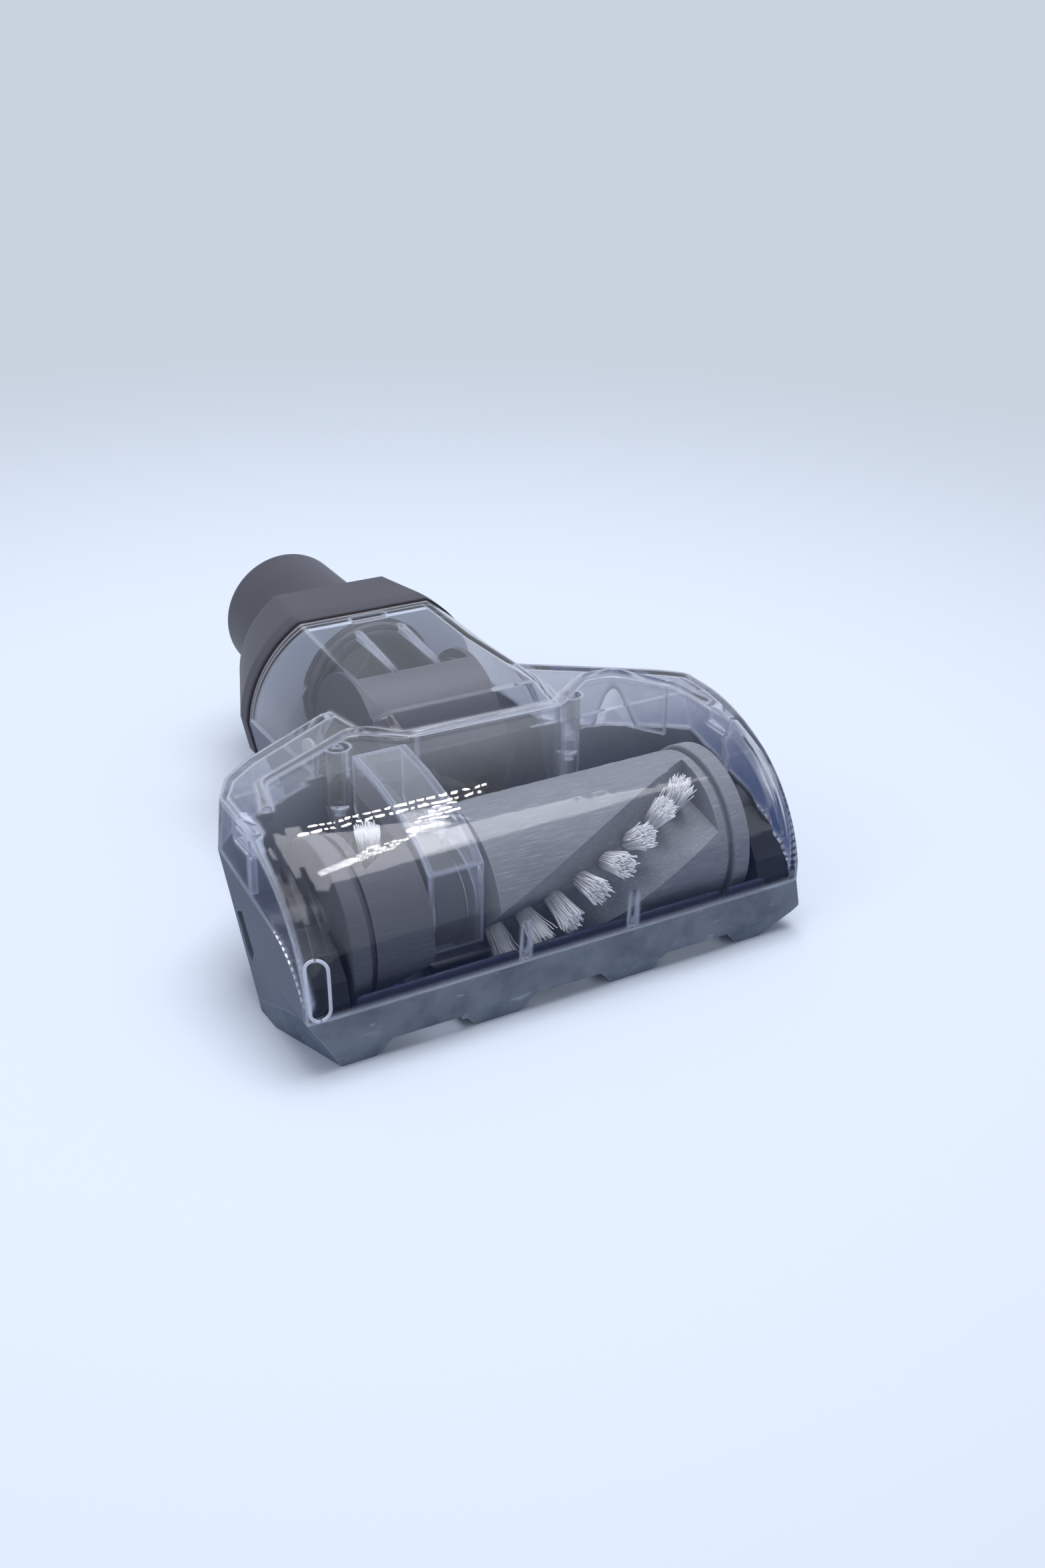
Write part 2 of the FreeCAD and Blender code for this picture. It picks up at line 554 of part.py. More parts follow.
def clear_cover(outer, cavity):
    """Clear moulded cover: hood, wings and the top of the neck, with bead, bosses and ribs."""
    shell = outer.cut(cavity).cut(below_parting())
    extra = [rod_z(BOSS_RADIUS, BOSS_JOINT_Z, FAR / 2, x, y) for x, y in COVER_SCREWS] + [chamber_wall()]
    pieces = [shell, cover_bead()] + front_fins()
    for piece in extra:
        pieces += [piece.common(cavity), piece.common(outer).cut(below_parting())]
    for frame in both_sides(end_frame):
        pieces += [frame.common(cavity), frame.common(outer).cut(below_parting())]
    half_rib, over_drum = NECK_RIB_THICKNESS / 2, TURBINE_Z + TURBINE_SHELL_RADIUS + 2 * FIT_GAP
    for x in NECK_RIBS:
        rib = box(x - half_rib, x + half_rib, NECK_CREASE_Y + 4.0, SPIGOT_FRONT_Y - 1.5, over_drum, FAR / 2)
        pieces.append(rib.common(outer))
    whole = fused(pieces)
    for x, y in COVER_SCREWS:
        top = BOSS_JOINT_Z + SCREW_BITE + 2.0
        whole = whole.cut(rod_z(SCREW_RADIUS + SEAT_GAP, BOSS_JOINT_Z - 1.0, top, x, y))
    half_slot, front = SNAP_SLOT_WIDTH / 2, NECK_END_Y - SNAP_SLOT_INSET
    return whole.cut(box(-half_slot, half_slot, front, front + SNAP_SLOT_LENGTH, HEAD_TOP, FAR))


def belt_guard():
    """Clear channel over the belt: roof, front wall and two side walls arched over the pulley."""
    left, right = BELT_X - GUARD_HALF_WIDTH, BELT_X + GUARD_HALF_WIDTH
    front = ROLL_Y - BRUSH_PULLEY_RADIUS - BELT_GAP - BELT_THICKNESS - 2.2
    outline = [
        (front, 16.0), (front, 38.5), (front + 4.4, 42.2), (20.5, 44.6), (28.0, 47.0), (40.0, 49.4),
        (53.5, 50.45), (53.5, 30.0), (34.0, 30.0), (34.0, 16.0),
    ]
    body = prism_x(outline, left, right)
    inner = [
        (front + GUARD_WALL, 15.0), (front + GUARD_WALL, 37.8), (front + 5.2, 41.0), (21.0, 43.2),
        (28.4, 45.6), (40.2, 48.0), (54.5, 49.1), (54.5, 29.0), (35.0, 29.0), (35.0, 15.0),
    ]
    body = body.cut(prism_x(inner, left + GUARD_WALL, right - GUARD_WALL))
    arch = rod_x(BRUSH_PULLEY_RADIUS + 2.4, left - 1, right + 1, ROLL_Y, ROLL_Z)
    below = box(left - 1, right + 1, ROLL_Y - BRUSH_PULLEY_RADIUS - 2.4, FAR, 0.0, ROLL_Z)
    behind = [(ROLL_Y, ROLL_Z - 1), (60.0, ROLL_Z - 1), (60.0, 42.0), (38.9, ROLL_Z)]
    return body.cut(arch).cut(below).cut(prism_x(behind, left - 1, right + 1))


def belt_guard_foot():
    """Dark rounded block that stands on the sole's bridge and closes the channel's front."""
    front = ROLL_Y - BRUSH_PULLEY_RADIUS - BELT_GAP - BELT_THICKNESS - 5.2
    back = ROLL_Y - BRUSH_PULLEY_RADIUS - BELT_GAP - BELT_THICKNESS - 0.6
    left, right = BARREL_LEFT_END + 0.6, BARREL_RIGHT_END - 0.6
    block = box(left, right, front, back, SOLE_THICKNESS, 16.0)
    at_front = [e for e in block.Edges if e.BoundBox.YMax < front + 0.01]
    return block.makeFillet(1.4, [e for e in at_front if e.BoundBox.ZMax > SOLE_THICKNESS + 0.01])


# Brush roll

def angle_at(x, line):
    """Angle in degrees from straight up, towards the front, of a valley's edge or tuft row at x."""
    return line[0] + (FIRST_TUFT_X - x) * line[1]


def barrel_wire(x):
    """Roll section at x: two round lands and two valleys."""
    def at(radius, degrees):
        y, z = polar(ROLL_Y, ROLL_Z, radius, math.radians(degrees))
        return Vector(x, y, z)
    lead, row, trail = angle_at(x, LEAD_EDGE), angle_at(x, TUFT_ROW), angle_at(x, TRAIL_EDGE)
    edges = []
    for side in (0.0, 180.0):
        start, end = side + trail, side + 180.0 + lead
        bottom, after = side + 180.0 + row, side + 180.0 + trail
        half_way = (start + end) / 2
        edges.append(Part.Arc(at(BARREL_RADIUS, start), at(BARREL_RADIUS, half_way), at(BARREL_RADIUS, end)))
        edges.append(Part.LineSegment(at(BARREL_RADIUS, end), at(VALLEY_RADIUS, bottom)))
        edges.append(Part.LineSegment(at(VALLEY_RADIUS, bottom), at(BARREL_RADIUS, after)))
    return Part.Wire([edge.toShape() for edge in edges])


def tuft_stations(x0, x1):
    """Tuft places along one barrel: from the first tuft leftwards, or centred on a short barrel."""
    edge = TUFT_ROOT_RADIUS + TUFT_WALL
    if x0 < FIRST_TUFT_X < x1:
        count = int((FIRST_TUFT_X - x0 - edge) / TUFT_PITCH) + 1
        return [FIRST_TUFT_X - k * TUFT_PITCH for k in range(count)]
    count = max(1, int((x1 - x0 - 2 * edge) / TUFT_PITCH) + 1)
    return [(x0 + x1) / 2 + (k - (count - 1) / 2) * TUFT_PITCH for k in range(count)]


def tuft_direction(x, side):
    """Outward direction of the tuft at x in the first (0) or second (180) row."""
    y, z = polar(0.0, 0.0, 1.0, math.radians(angle_at(x, TUFT_ROW) + side))
    return Vector(0, y, z)


def tuft_hole(x, side):
    """Drilled hole that holds one tuft."""
    direction = tuft_direction(x, side)
    root = Vector(x, ROLL_Y, ROLL_Z) + direction * (VALLEY_RADIUS - TUFT_HOLE_DEPTH)
    return Part.makeCylinder(TUFT_ROOT_RADIUS + SEAT_GAP, BARREL_RADIUS, root, direction)


def tuft(x, side):
    """One tuft: a straight root in its hole and bristles that splay to the tip."""
    direction = tuft_direction(x, side)
    centre = Vector(x, ROLL_Y, ROLL_Z)
    root = centre + direction * (VALLEY_RADIUS - TUFT_HOLE_DEPTH)
    stem_length = TUFT_HOLE_DEPTH + TUFT_STEM
    stem = Part.makeCylinder(TUFT_ROOT_RADIUS, stem_length, root, direction)
    neck = root + direction * stem_length
    reach = math.sqrt(TUFT_REACH ** 2 - TUFT_TIP_RADIUS ** 2)
    height = reach - VALLEY_RADIUS - TUFT_STEM
    splay = Part.makeCone(TUFT_ROOT_RADIUS, TUFT_TIP_RADIUS, height, neck, direction)
    return fused([stem, splay])


def brush_barrel(inner, flange_side):
    """Twisted barrel from its inner end to a rim, a groove and a flange at its outer end."""
    step = 6.0
    widths = (RIM_WIDTH, GROOVE_WIDTH, FLANGE_THICKNESS)
    rim = BARREL_END * flange_side
    count = max(2, math.ceil(abs(rim - inner) / step))
    stations = [inner + (rim - inner) * k / count for k in range(count + 1)]
    pieces = [Part.makeLoft([barrel_wire(x) for x in stations], True, False)]
    for width, radius in zip(widths, (BARREL_RADIUS, GROOVE_RADIUS, FLANGE_RADIUS)):
        low, high = sorted((rim, rim + flange_side * width))
        pieces.append(rod_x(radius, low, high, ROLL_Y, ROLL_Z))
        rim = rim + flange_side * width
    flange = pieces.pop()
    circles = [e for e in flange.Edges if e.Length > 6.0 * FLANGE_RADIUS]
    whole = fused(pieces + [flange.makeFillet(0.6, circles)])
    for x in tuft_stations(*sorted((inner, BARREL_END * flange_side))):
        for side in (0.0, 180.0):
            whole = whole.cut(tuft_hole(x, side))
    return whole.cut(rod_x(AXLE_RADIUS + SEAT_GAP, -HALF_WIDTH, HALF_WIDTH, ROLL_Y, ROLL_Z))


def bristle_rows(x0, x1):
    """All tufts of one barrel."""
    tufts = []
    for x in tuft_stations(x0, x1):
        tufts += [tuft(x, 0.0), tuft(x, 180.0)]
    return Part.makeCompound(tufts)


def toothed_pulley(radius, teeth, y, z, bore):
    """Toothed belt pulley with a cheek at each end, bored for its shaft."""
    x0, x1 = BELT_X - HALF_PULLEY, BELT_X + HALF_PULLEY
    root = radius - TOOTH_DEPTH
    points = []
    for k in range(teeth):
        for share, r in ((0.0, radius), (0.45, radius), (0.6, root), (0.85, root)):
            points.append(polar(y, z, r, 2 * math.pi * (k + share) / teeth))
    cog = prism_x(points, x0 + PULLEY_CHEEK, x1 - PULLEY_CHEEK)
    cheeks = [rod_x(radius + BELT_GAP, x, x + PULLEY_CHEEK, y, z) for x in (x0, x1 - PULLEY_CHEEK)]
    return fused([cog] + cheeks).cut(rod_x(bore, x0 - 1, x1 + 1, y, z))


def belt_loop(extra):
    """Solid inside the belt line that stands off both pulleys by an extra distance."""
    r1, r2 = BRUSH_PULLEY_RADIUS + extra, TURBINE_PULLEY_RADIUS + extra
    dy, dz = TURBINE_Y - ROLL_Y, TURBINE_Z - ROLL_Z
    distance, tilt = math.hypot(dy, dz), math.atan2(dz, dy)
    spread = math.acos((r1 - r2) / distance)
    x0 = BELT_X - BELT_WIDTH / 2
    def on_roll(turn):
        angle = tilt + turn
        return Vector(x0, ROLL_Y + r1 * math.cos(angle), ROLL_Z + r1 * math.sin(angle))
    def on_turbine(turn):
        angle = tilt + turn
        return Vector(x0, TURBINE_Y + r2 * math.cos(angle), TURBINE_Z + r2 * math.sin(angle))
    edges = [
        Part.LineSegment(on_roll(spread), on_turbine(spread)),
        Part.Arc(on_turbine(spread), on_turbine(0.0), on_turbine(-spread)),
        Part.LineSegment(on_turbine(-spread), on_roll(-spread)),
        Part.Arc(on_roll(-spread), on_roll(math.pi), on_roll(spread)),
    ]
    return Part.Face(Part.Wire([edge.toShape() for edge in edges])).extrude(Vector(BELT_WIDTH, 0, 0))


def drive_belt():
    """Flat belt from the turbine pulley to the brush pulley."""
    return belt_loop(BELT_GAP + BELT_THICKNESS).cut(belt_loop(BELT_GAP))


def end_block(cavity, side):
    """Black bearing carrier between the roll and the end wall, on the left (-1) or right (1)."""
    inner, outer = sorted((side * END_BLOCK_IN, side * END_BLOCK_OUT))
    outline = [
        (3.0, SOLE_THICKNESS), (3.0, 17.0), (4.6, 22.0), (9.0, 27.2), (20.0, 28.4), (32.0, 28.4),
        (45.0, 25.0), (47.0, 20.0), (47.0, SOLE_THICKNESS),
    ]
    plate = prism_x(outline, inner, outer)
    boss = rod_x(BUSH_RADIUS + BLOCK_WALL, inner, outer, ROLL_Y, ROLL_Z)
    block = fused([plate, boss]).common(cavity)
    return block.cut(rod_x(BUSH_RADIUS + SEAT_GAP, -BUSH_END, BUSH_END, ROLL_Y, ROLL_Z))


def brush_bush():
    """Flanged sleeve bearing pressed into an end block."""
    outer = rod_x(BUSH_RADIUS, END_BLOCK_IN, BUSH_END, ROLL_Y, ROLL_Z)
    return outer.cut(rod_x(AXLE_RADIUS + RUNNING_GAP, END_BLOCK_IN - 1, BUSH_END + 1, ROLL_Y, ROLL_Z))


def thrust_washer():
    """Plain washer that keeps the roll off the end block."""
    x0, x1 = ROLL_HALF_LENGTH + WASHER_GAP, END_BLOCK_IN - WASHER_GAP
    outer = rod_x(WASHER_RADIUS, x0, x1, ROLL_Y, ROLL_Z)
    return outer.cut(rod_x(AXLE_RADIUS + RUNNING_GAP, x0 - 1, x1 + 1, ROLL_Y, ROLL_Z))


# Air turbine

def turbine_housing():
    """Dark half-open drum round the turbine, on two saddle ribs, with a bearing boss at each end."""
    y, z = TURBINE_Y, TURBINE_Z
    drum = rod_x(TURBINE_SHELL_RADIUS, -PLATE_OUT, PLATE_OUT, y, z)
    inner = TURBINE_HALF_LENGTH + TURBINE_CLEARANCE
    rib_top = z - TURBINE_SHELL_RADIUS + 3.0
    ribs = [box(x - 1.5, x + 1.5, y - 9.0, NECK_BELLY_Y - 0.5, HOUSING_WALL, rib_top) for x in (-12.0, 12.0)]
    boss = rod_x(BEARING_RADIUS + TURBINE_WALL, -PLATE_OUT - BEARING_BOSS, PLATE_OUT + BEARING_BOSS, y, z)
    whole = fused([drum, boss] + ribs)
    whole = whole.cut(rod_x(TURBINE_SHELL_RADIUS - TURBINE_WALL, -inner, inner, y, z))
    whole = whole.cut(box(-inner, inner, y - 2.0, FAR, z - 6.0, FAR))
    whole = whole.cut(box(-inner, inner, 0.0, y - 6.0, z - 17.0, z - 4.0))
    return whole.cut(rod_x(BEARING_RADIUS + SEAT_GAP, -FAR, FAR, y, z))


def impeller():
    """Turbine wheel: hub, two discs and curved blades."""
    y, z, half = TURBINE_Y, TURBINE_Z, TURBINE_HALF_LENGTH
    pieces = [rod_x(TURBINE_HUB_RADIUS, -half, half, y, z)]
    pieces.append(rod_x(TURBINE_RADIUS, half - TURBINE_DISC, half, y, z))
    pieces.append(rod_x(TURBINE_RADIUS, -half, -half + TURBINE_DISC, y, z))
    for k in range(BLADE_COUNT):
        turn = 2 * math.pi * k / BLADE_COUNT
        pieces.append(turbine_blade(turn))
    wheel = fused(pieces)
    return wheel.cut(rod_x(SHAFT_RADIUS + SEAT_GAP, -half - 1, half + 1, y, z))


def turbine_blade(turn):
    """One blade, curved from the hub to the rim."""
    y, z, half = TURBINE_Y, TURBINE_Z, TURBINE_HALF_LENGTH
    sweep = math.radians(BLADE_SWEEP)
    inner, outer = TURBINE_HUB_RADIUS - 1.0, TURBINE_RADIUS - 0.4
    middle = (inner + outer) / 2
    def at(radius, share, side):
        point = polar(y, z, radius, turn + sweep * share + side * BLADE_THICKNESS / 2 / radius)
        return Vector(-half, point[0], point[1])
    edges = [
        Part.Arc(at(inner, 0.0, -1), at(middle, 0.25, -1), at(outer, 1.0, -1)),
        Part.LineSegment(at(outer, 1.0, -1), at(outer, 1.0, 1)),
        Part.Arc(at(outer, 1.0, 1), at(middle, 0.25, 1), at(inner, 0.0, 1)),
        Part.LineSegment(at(inner, 0.0, 1), at(inner, 0.0, -1)),
    ]
    return Part.Face(Part.Wire([edge.toShape() for edge in edges])).extrude(Vector(2 * half, 0, 0))


def shaft_left_end():
    """Left end of the turbine shaft, flush with its pulley."""
    return BELT_X - HALF_PULLEY - 0.2


def turbine_bearing(x0, x1):
    """Ball bearing, drawn as one ring."""
    ring = rod_x(BEARING_RADIUS, x0, x1, TURBINE_Y, TURBINE_Z)
    return ring.cut(rod_x(SHAFT_RADIUS + RUNNING_GAP, x0 - 1, x1 + 1, TURBINE_Y, TURBINE_Z))


# Neck joint, collar and nozzle

def neck_gasket():
    """Thin dark seal between the neck and the collar."""
    wire = neck_wire(NECK_END_Y, REAR_SECTION, REAR_SECTION, 0.0)
    hole = neck_wire(NECK_END_Y, REAR_SECTION, REAR_SECTION, COVER_WALL)
    depth = Vector(0, GASKET_THICKNESS, 0)
    return Part.Face(wire).extrude(depth).cut(Part.Face(hole).extrude(depth))


def neck_collar():
    """Dark tapering collar with the sleeve that the nozzle turns in."""
    start_y = NECK_END_Y + GASKET_THICKNESS
    front = neck_wire(start_y, REAR_SECTION, REAR_SECTION, -COLLAR_STEP)
    band = neck_wire(start_y + COLLAR_BAND, REAR_SECTION, REAR_SECTION, -COLLAR_STEP)
    back = neck_wire(COLLAR_END_Y, COLLAR_REAR_SECTION, COLLAR_REAR_SECTION, 0.0)
    outer = fused([Part.makeLoft([front, band], True, True), Part.makeLoft([band, back], True, True)])
    inner_front = neck_wire(start_y, REAR_SECTION, REAR_SECTION, COLLAR_WALL)
    back_y = COLLAR_END_Y - COLLAR_WALL
    inner_back = neck_wire(back_y, COLLAR_REAR_SECTION, COLLAR_REAR_SECTION, COLLAR_WALL)
    hollow = Part.makeLoft([inner_front, inner_back], True, True)
    sleeve = rod_y(SLEEVE_RADIUS, SLEEVE_FRONT_Y, COLLAR_END_Y, 0.0, NOZZLE_Z)
    whole = fused([outer.cut(hollow), sleeve])
    return whole.cut(rod_y(SPIGOT_RADIUS + RUNNING_GAP, 0.0, FAR, 0.0, NOZZLE_Z))


def nozzle_cuff():
    """Round nozzle that takes the hose, with its turned-down spigot inside the collar."""
    shoulder = COLLAR_END_Y + SWIVEL_GAP
    grip = rod_y(NOZZLE_RADIUS, shoulder, TOTAL_LENGTH, 0.0, NOZZLE_Z)
    rims = [e for e in grip.Edges if e.Length > 6.0 * NOZZLE_RADIUS]
    grip = grip.makeFillet(0.8, rims)
    spigot = rod_y(SPIGOT_RADIUS, SPIGOT_FRONT_Y, shoulder + 1.0, 0.0, NOZZLE_Z)
    whole = fused([grip, spigot])
    whole = whole.cut(rod_y(NOZZLE_BORE, TOTAL_LENGTH - NOZZLE_BORE_DEPTH, TOTAL_LENGTH + 1, 0.0, NOZZLE_Z))
    return whole.cut(rod_y(NOZZLE_STOP_BORE, 0.0, FAR, 0.0, NOZZLE_Z))


def nozzle_ring():
    """Ring snapped on the spigot, in front of the collar's sleeve."""
    y1 = SLEEVE_FRONT_Y - SWIVEL_GAP
    ring = rod_y(SLEEVE_RADIUS - 0.4, y1 - RING_WIDTH, y1, 0.0, NOZZLE_Z)
    return ring.cut(rod_y(SPIGOT_RADIUS + SEAT_GAP, 0.0, FAR, 0.0, NOZZLE_Z))


# Fasteners

def screw(x, y, seat, length):
    """Pan head screw that points up, its cross-recessed head under the seat."""
    head = rod_z(SCREW_HEAD_RADIUS, seat - SCREW_HEAD_HEIGHT, seat, x, y)
    shank = rod_z(SCREW_RADIUS, seat, seat + length, x, y)
    whole = fused([head, shank])
    arm, half = RECESS_LENGTH / 2, RECESS_WIDTH / 2
    depth = seat - SCREW_HEAD_HEIGHT / 2
    whole = whole.cut(box(x - arm, x + arm, y - half, y + half, seat - 5.0, depth))
    return whole.cut(box(x - half, x + half, y - arm, y + arm, seat - 5.0, depth))


def screw_set(places, seat, length):
    """Equal screws at several places."""
    return Part.makeCompound([screw(x, y, seat, length) for x, y in places])


def build_parts():
    """Every sub-part by its name."""
    outer = fused([head_form(0.0), neck_form(0.0)])
    cavity = fused([head_form(COVER_WALL), neck_form(COVER_WALL)])
    y, z = TURBINE_Y, TURBINE_Z
    axle_bore, shaft_bore = AXLE_RADIUS + SEAT_GAP, SHAFT_RADIUS + SEAT_GAP
    long_shank = BOSS_JOINT_Z - SCREW_SEAT_Z + SCREW_BITE
    parts = {
        "lower_housing": lower_housing(outer, cavity),
        "sole_plate": sole_plate(outer, cavity),
        "clear_cover": clear_cover(outer, cavity),
        "belt_guard": belt_guard(),
        "belt_guard_foot": belt_guard_foot(),
        "brush_core_left": brush_barrel(BARREL_LEFT_END, -1),
        "brush_core_right": brush_barrel(BARREL_RIGHT_END, 1),
        "bristles_left": bristle_rows(-BARREL_END, BARREL_LEFT_END),
        "bristles_right": bristle_rows(BARREL_RIGHT_END, BARREL_END),
        "brush_pulley": toothed_pulley(BRUSH_PULLEY_RADIUS, PULLEY_TEETH, ROLL_Y, ROLL_Z, axle_bore),
        "brush_axle": rod_x(AXLE_RADIUS, -AXLE_END, AXLE_END, ROLL_Y, ROLL_Z),
        "drive_belt": drive_belt(),
        "turbine_pulley": toothed_pulley(TURBINE_PULLEY_RADIUS, PULLEY_TEETH // 2, y, z, shaft_bore),
        "turbine_shaft": rod_x(SHAFT_RADIUS, shaft_left_end(), PLATE_OUT + 1.5, y, z),
        "impeller": impeller(),
        "turbine_housing": turbine_housing(),
        "turbine_bearing_left": turbine_bearing(-PLATE_OUT - 1.6, -PLATE_OUT - 1.6 + BEARING_WIDTH - 0.3),
        "turbine_bearing_right": turbine_bearing(PLATE_OUT + 1.6 - BEARING_WIDTH + 0.3, PLATE_OUT + 1.6),
        "neck_gasket": neck_gasket(),
        "neck_collar": neck_collar(),
        "nozzle_cuff": nozzle_cuff(),
        "nozzle_ring": nozzle_ring(),
        "cover_screws": screw_set(COVER_SCREWS, SCREW_SEAT_Z, long_shank),
        "sole_screws": screw_set(SOLE_SCREWS, SCREW_HEAD_HEIGHT, SOLE_BOSS_TOP - 2.0),
    }
    bushes = both_sides(brush_bush)
    washers = both_sides(thrust_washer)
    for side, sign, k in (("right", 1, 0), ("left", -1, 1)):
        parts["end_block_" + side] = end_block(cavity, sign)
        parts["brush_bush_" + side] = bushes[k]
        parts["thrust_washer_" + side] = washers[k]
    return parts


def main():
    """Move every sub-part to the part's origin and write it."""
    os.makedirs("parts", exist_ok=True)
    for name, shape in build_parts().items():
        shape.translate(Vector(0, -TOTAL_LENGTH / 2, 0))
        shape.exportStep("parts/" + name + ".step")
        kind = "valid" if shape.isValid() else "NOT VALID"
        print(name, kind, len(shape.Solids), round(shape.Volume, 1))


main()
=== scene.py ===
"""The looks of a vacuum turbo brush: finishes, bristles, floor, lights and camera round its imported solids."""

import logging
import math
import random
from dataclasses import dataclass
from enum import Enum

import bmesh
import bpy
from mathutils import Matrix, Vector
from mathutils.bvhtree import BVHTree


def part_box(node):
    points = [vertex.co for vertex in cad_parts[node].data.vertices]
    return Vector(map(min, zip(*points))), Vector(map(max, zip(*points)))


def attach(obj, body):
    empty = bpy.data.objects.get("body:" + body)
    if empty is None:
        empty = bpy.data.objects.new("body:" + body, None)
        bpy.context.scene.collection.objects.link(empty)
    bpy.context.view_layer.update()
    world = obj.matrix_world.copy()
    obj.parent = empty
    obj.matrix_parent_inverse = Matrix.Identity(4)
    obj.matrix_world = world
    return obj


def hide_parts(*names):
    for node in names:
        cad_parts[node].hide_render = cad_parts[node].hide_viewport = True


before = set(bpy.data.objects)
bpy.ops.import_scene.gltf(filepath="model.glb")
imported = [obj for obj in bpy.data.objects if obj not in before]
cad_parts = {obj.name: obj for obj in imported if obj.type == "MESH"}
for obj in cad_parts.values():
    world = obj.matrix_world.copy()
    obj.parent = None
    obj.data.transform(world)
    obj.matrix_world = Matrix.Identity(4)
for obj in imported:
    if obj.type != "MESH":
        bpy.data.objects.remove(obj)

log = logging.getLogger("turbo_brush")

PHOTO_HEIGHT = 2352

# Metres in a millimetre, and the other way round for the scale of a pattern
MM = 0.001
PER_METRE = 1000

# The roll's axis, and a place in front of the whole part from which rays look back at it
CHAMBER_Y = -0.0628
BEFORE_PART_MM = -120.0
BACKWARDS = (0.0, 1.0, 0.0)

# The turn between one bristle and the next that spreads them evenly over a round tuft, in radians
GOLDEN_TURN = 2.39996

# Where the housing's inside changes its tone, in metres: from no painted shade to full painted shade in the
# chamber, or from no painted light to full painted light in the duct
BACK_OF_CHAMBER = (0.010, -0.002)
LEFT_OF_CHAMBER = (-0.052, -0.034)
LEFT_SHADE_SHARE = 0.25
TOP_OF_FLOORS = (0.0352, 0.0345)
FRONT_OF_DUCT = (0.018, 0.024)
FACING_INWARDS = (-0.002, -0.006)
FACING_UP = (0.25, 0.45)


def linear(hex_colour: str) -> tuple[float, float, float, float]:
    """Turns a colour as it is written into the linear one that shaders take.

    Args:
        hex_colour: an sRGB colour such as "#6e7584".

    Returns:
        Red, green, blue and alpha, each from 0 to 1.
    """
    channels = []
    for start in (1, 3, 5):
        value = int(hex_colour[start:start + 2], 16) / 255
        channels.append(value / 12.92 if value <= 0.04045 else ((value + 0.055) / 1.055) ** 2.4)
    return (*channels, 1.0)


def add_node(tree: bpy.types.NodeTree, kind: str, settings: dict | None = None,
             links: dict | None = None) -> bpy.types.Node:
    """Adds one node to a tree with its settings and its incoming links.

    Args:
        tree: the node tree of a material or of the world.
        kind: Blender's name for the kind of node.
        settings: values by input name or number, or by property name.
        links: outgoing sockets of other nodes, by input name or number.

    Returns:
        The new node.
    """
    node = tree.nodes.new(kind)
    for name, value in (settings or {}).items():
        if isinstance(name, int) or name in node.inputs:
            node.inputs[name].default_value = value
        else:
            setattr(node, name, value)
    for name, socket in (links or {}).items():
        tree.links.new(socket, node.inputs[name])
    return node


def empty_material(name: str) -> bpy.types.Material:
    """Makes a material with an empty node tree.

    Args:
        name: the material's name.

    Returns:
        The material, with no node in it.
    """
    material = bpy.data.materials.new(name)
    material.use_nodes = True
    material.node_tree.nodes.clear()
    return material


def mesh_object(name: str, build: bmesh.types.BMesh) -> bpy.types.Object:
    """Turns a built mesh into a smooth object in the scene and frees it.

    Args:
        name: the object's name.
        build: the mesh, in metres in the frame of the part.

    Returns:
        The new object.
    """
    mesh = bpy.data.meshes.new(name)
    build.to_mesh(mesh)
    build.free()
    mesh.shade_smooth()
    piece = bpy.data.objects.new(name, mesh)
    bpy.context.scene.collection.objects.link(piece)
    return piece


def faces_of(node: str) -> BVHTree:
    """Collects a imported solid's faces, for laying a piece on them.

    Args:
        node: the solid's name.

    Returns:
        Its faces in a tree that can be searched by a ray.
    """
    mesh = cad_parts[node].data
    places = [vert.co for vert in mesh.vertices]
    return BVHTree.FromPolygons(places, [face.vertices for face in mesh.polygons])


def front_of(faces: BVHTree, x_mm: float, z_mm: float) -> tuple[Vector | None, Vector | None]:
    """Finds the front of a solid at one place.

    Args:
        faces: the solid's faces.
        x_mm: the place's x, in millimetres.
        z_mm: its height, in millimetres.

    Returns:
        The point on the solid, in metres, and the face's normal there, or None twice beside the solid.
    """
    point, normal, _face, _far = faces.ray_cast(Vector((x_mm, BEFORE_PART_MM, z_mm)) * MM, Vector(BACKWARDS))
    return point, normal


def skin(build: bmesh.types.BMesh, rings: list[list[bmesh.types.BMVert]]) -> None:
    """Joins rings of corners into one closed form with a cap at each end, every face looking outwards.

    Args:
        build: the mesh that takes the faces.
        rings: the rings in order, each anticlockwise when seen from the last one's side.
    """
    for low, high in zip(rings, rings[1:]):
        for k in range(len(low)):
            build.faces.new((low[k - 1], low[k], high[k], high[k - 1]))
    build.faces.new(rings[0][::-1])
    build.faces.new(rings[-1])


class Lay(Enum):
    """Which way a surface's fine streaks run."""

    NONE = (1.0, 1.0, 1.0)
    ALONG_X = (0.06, 1.0, 1.0)


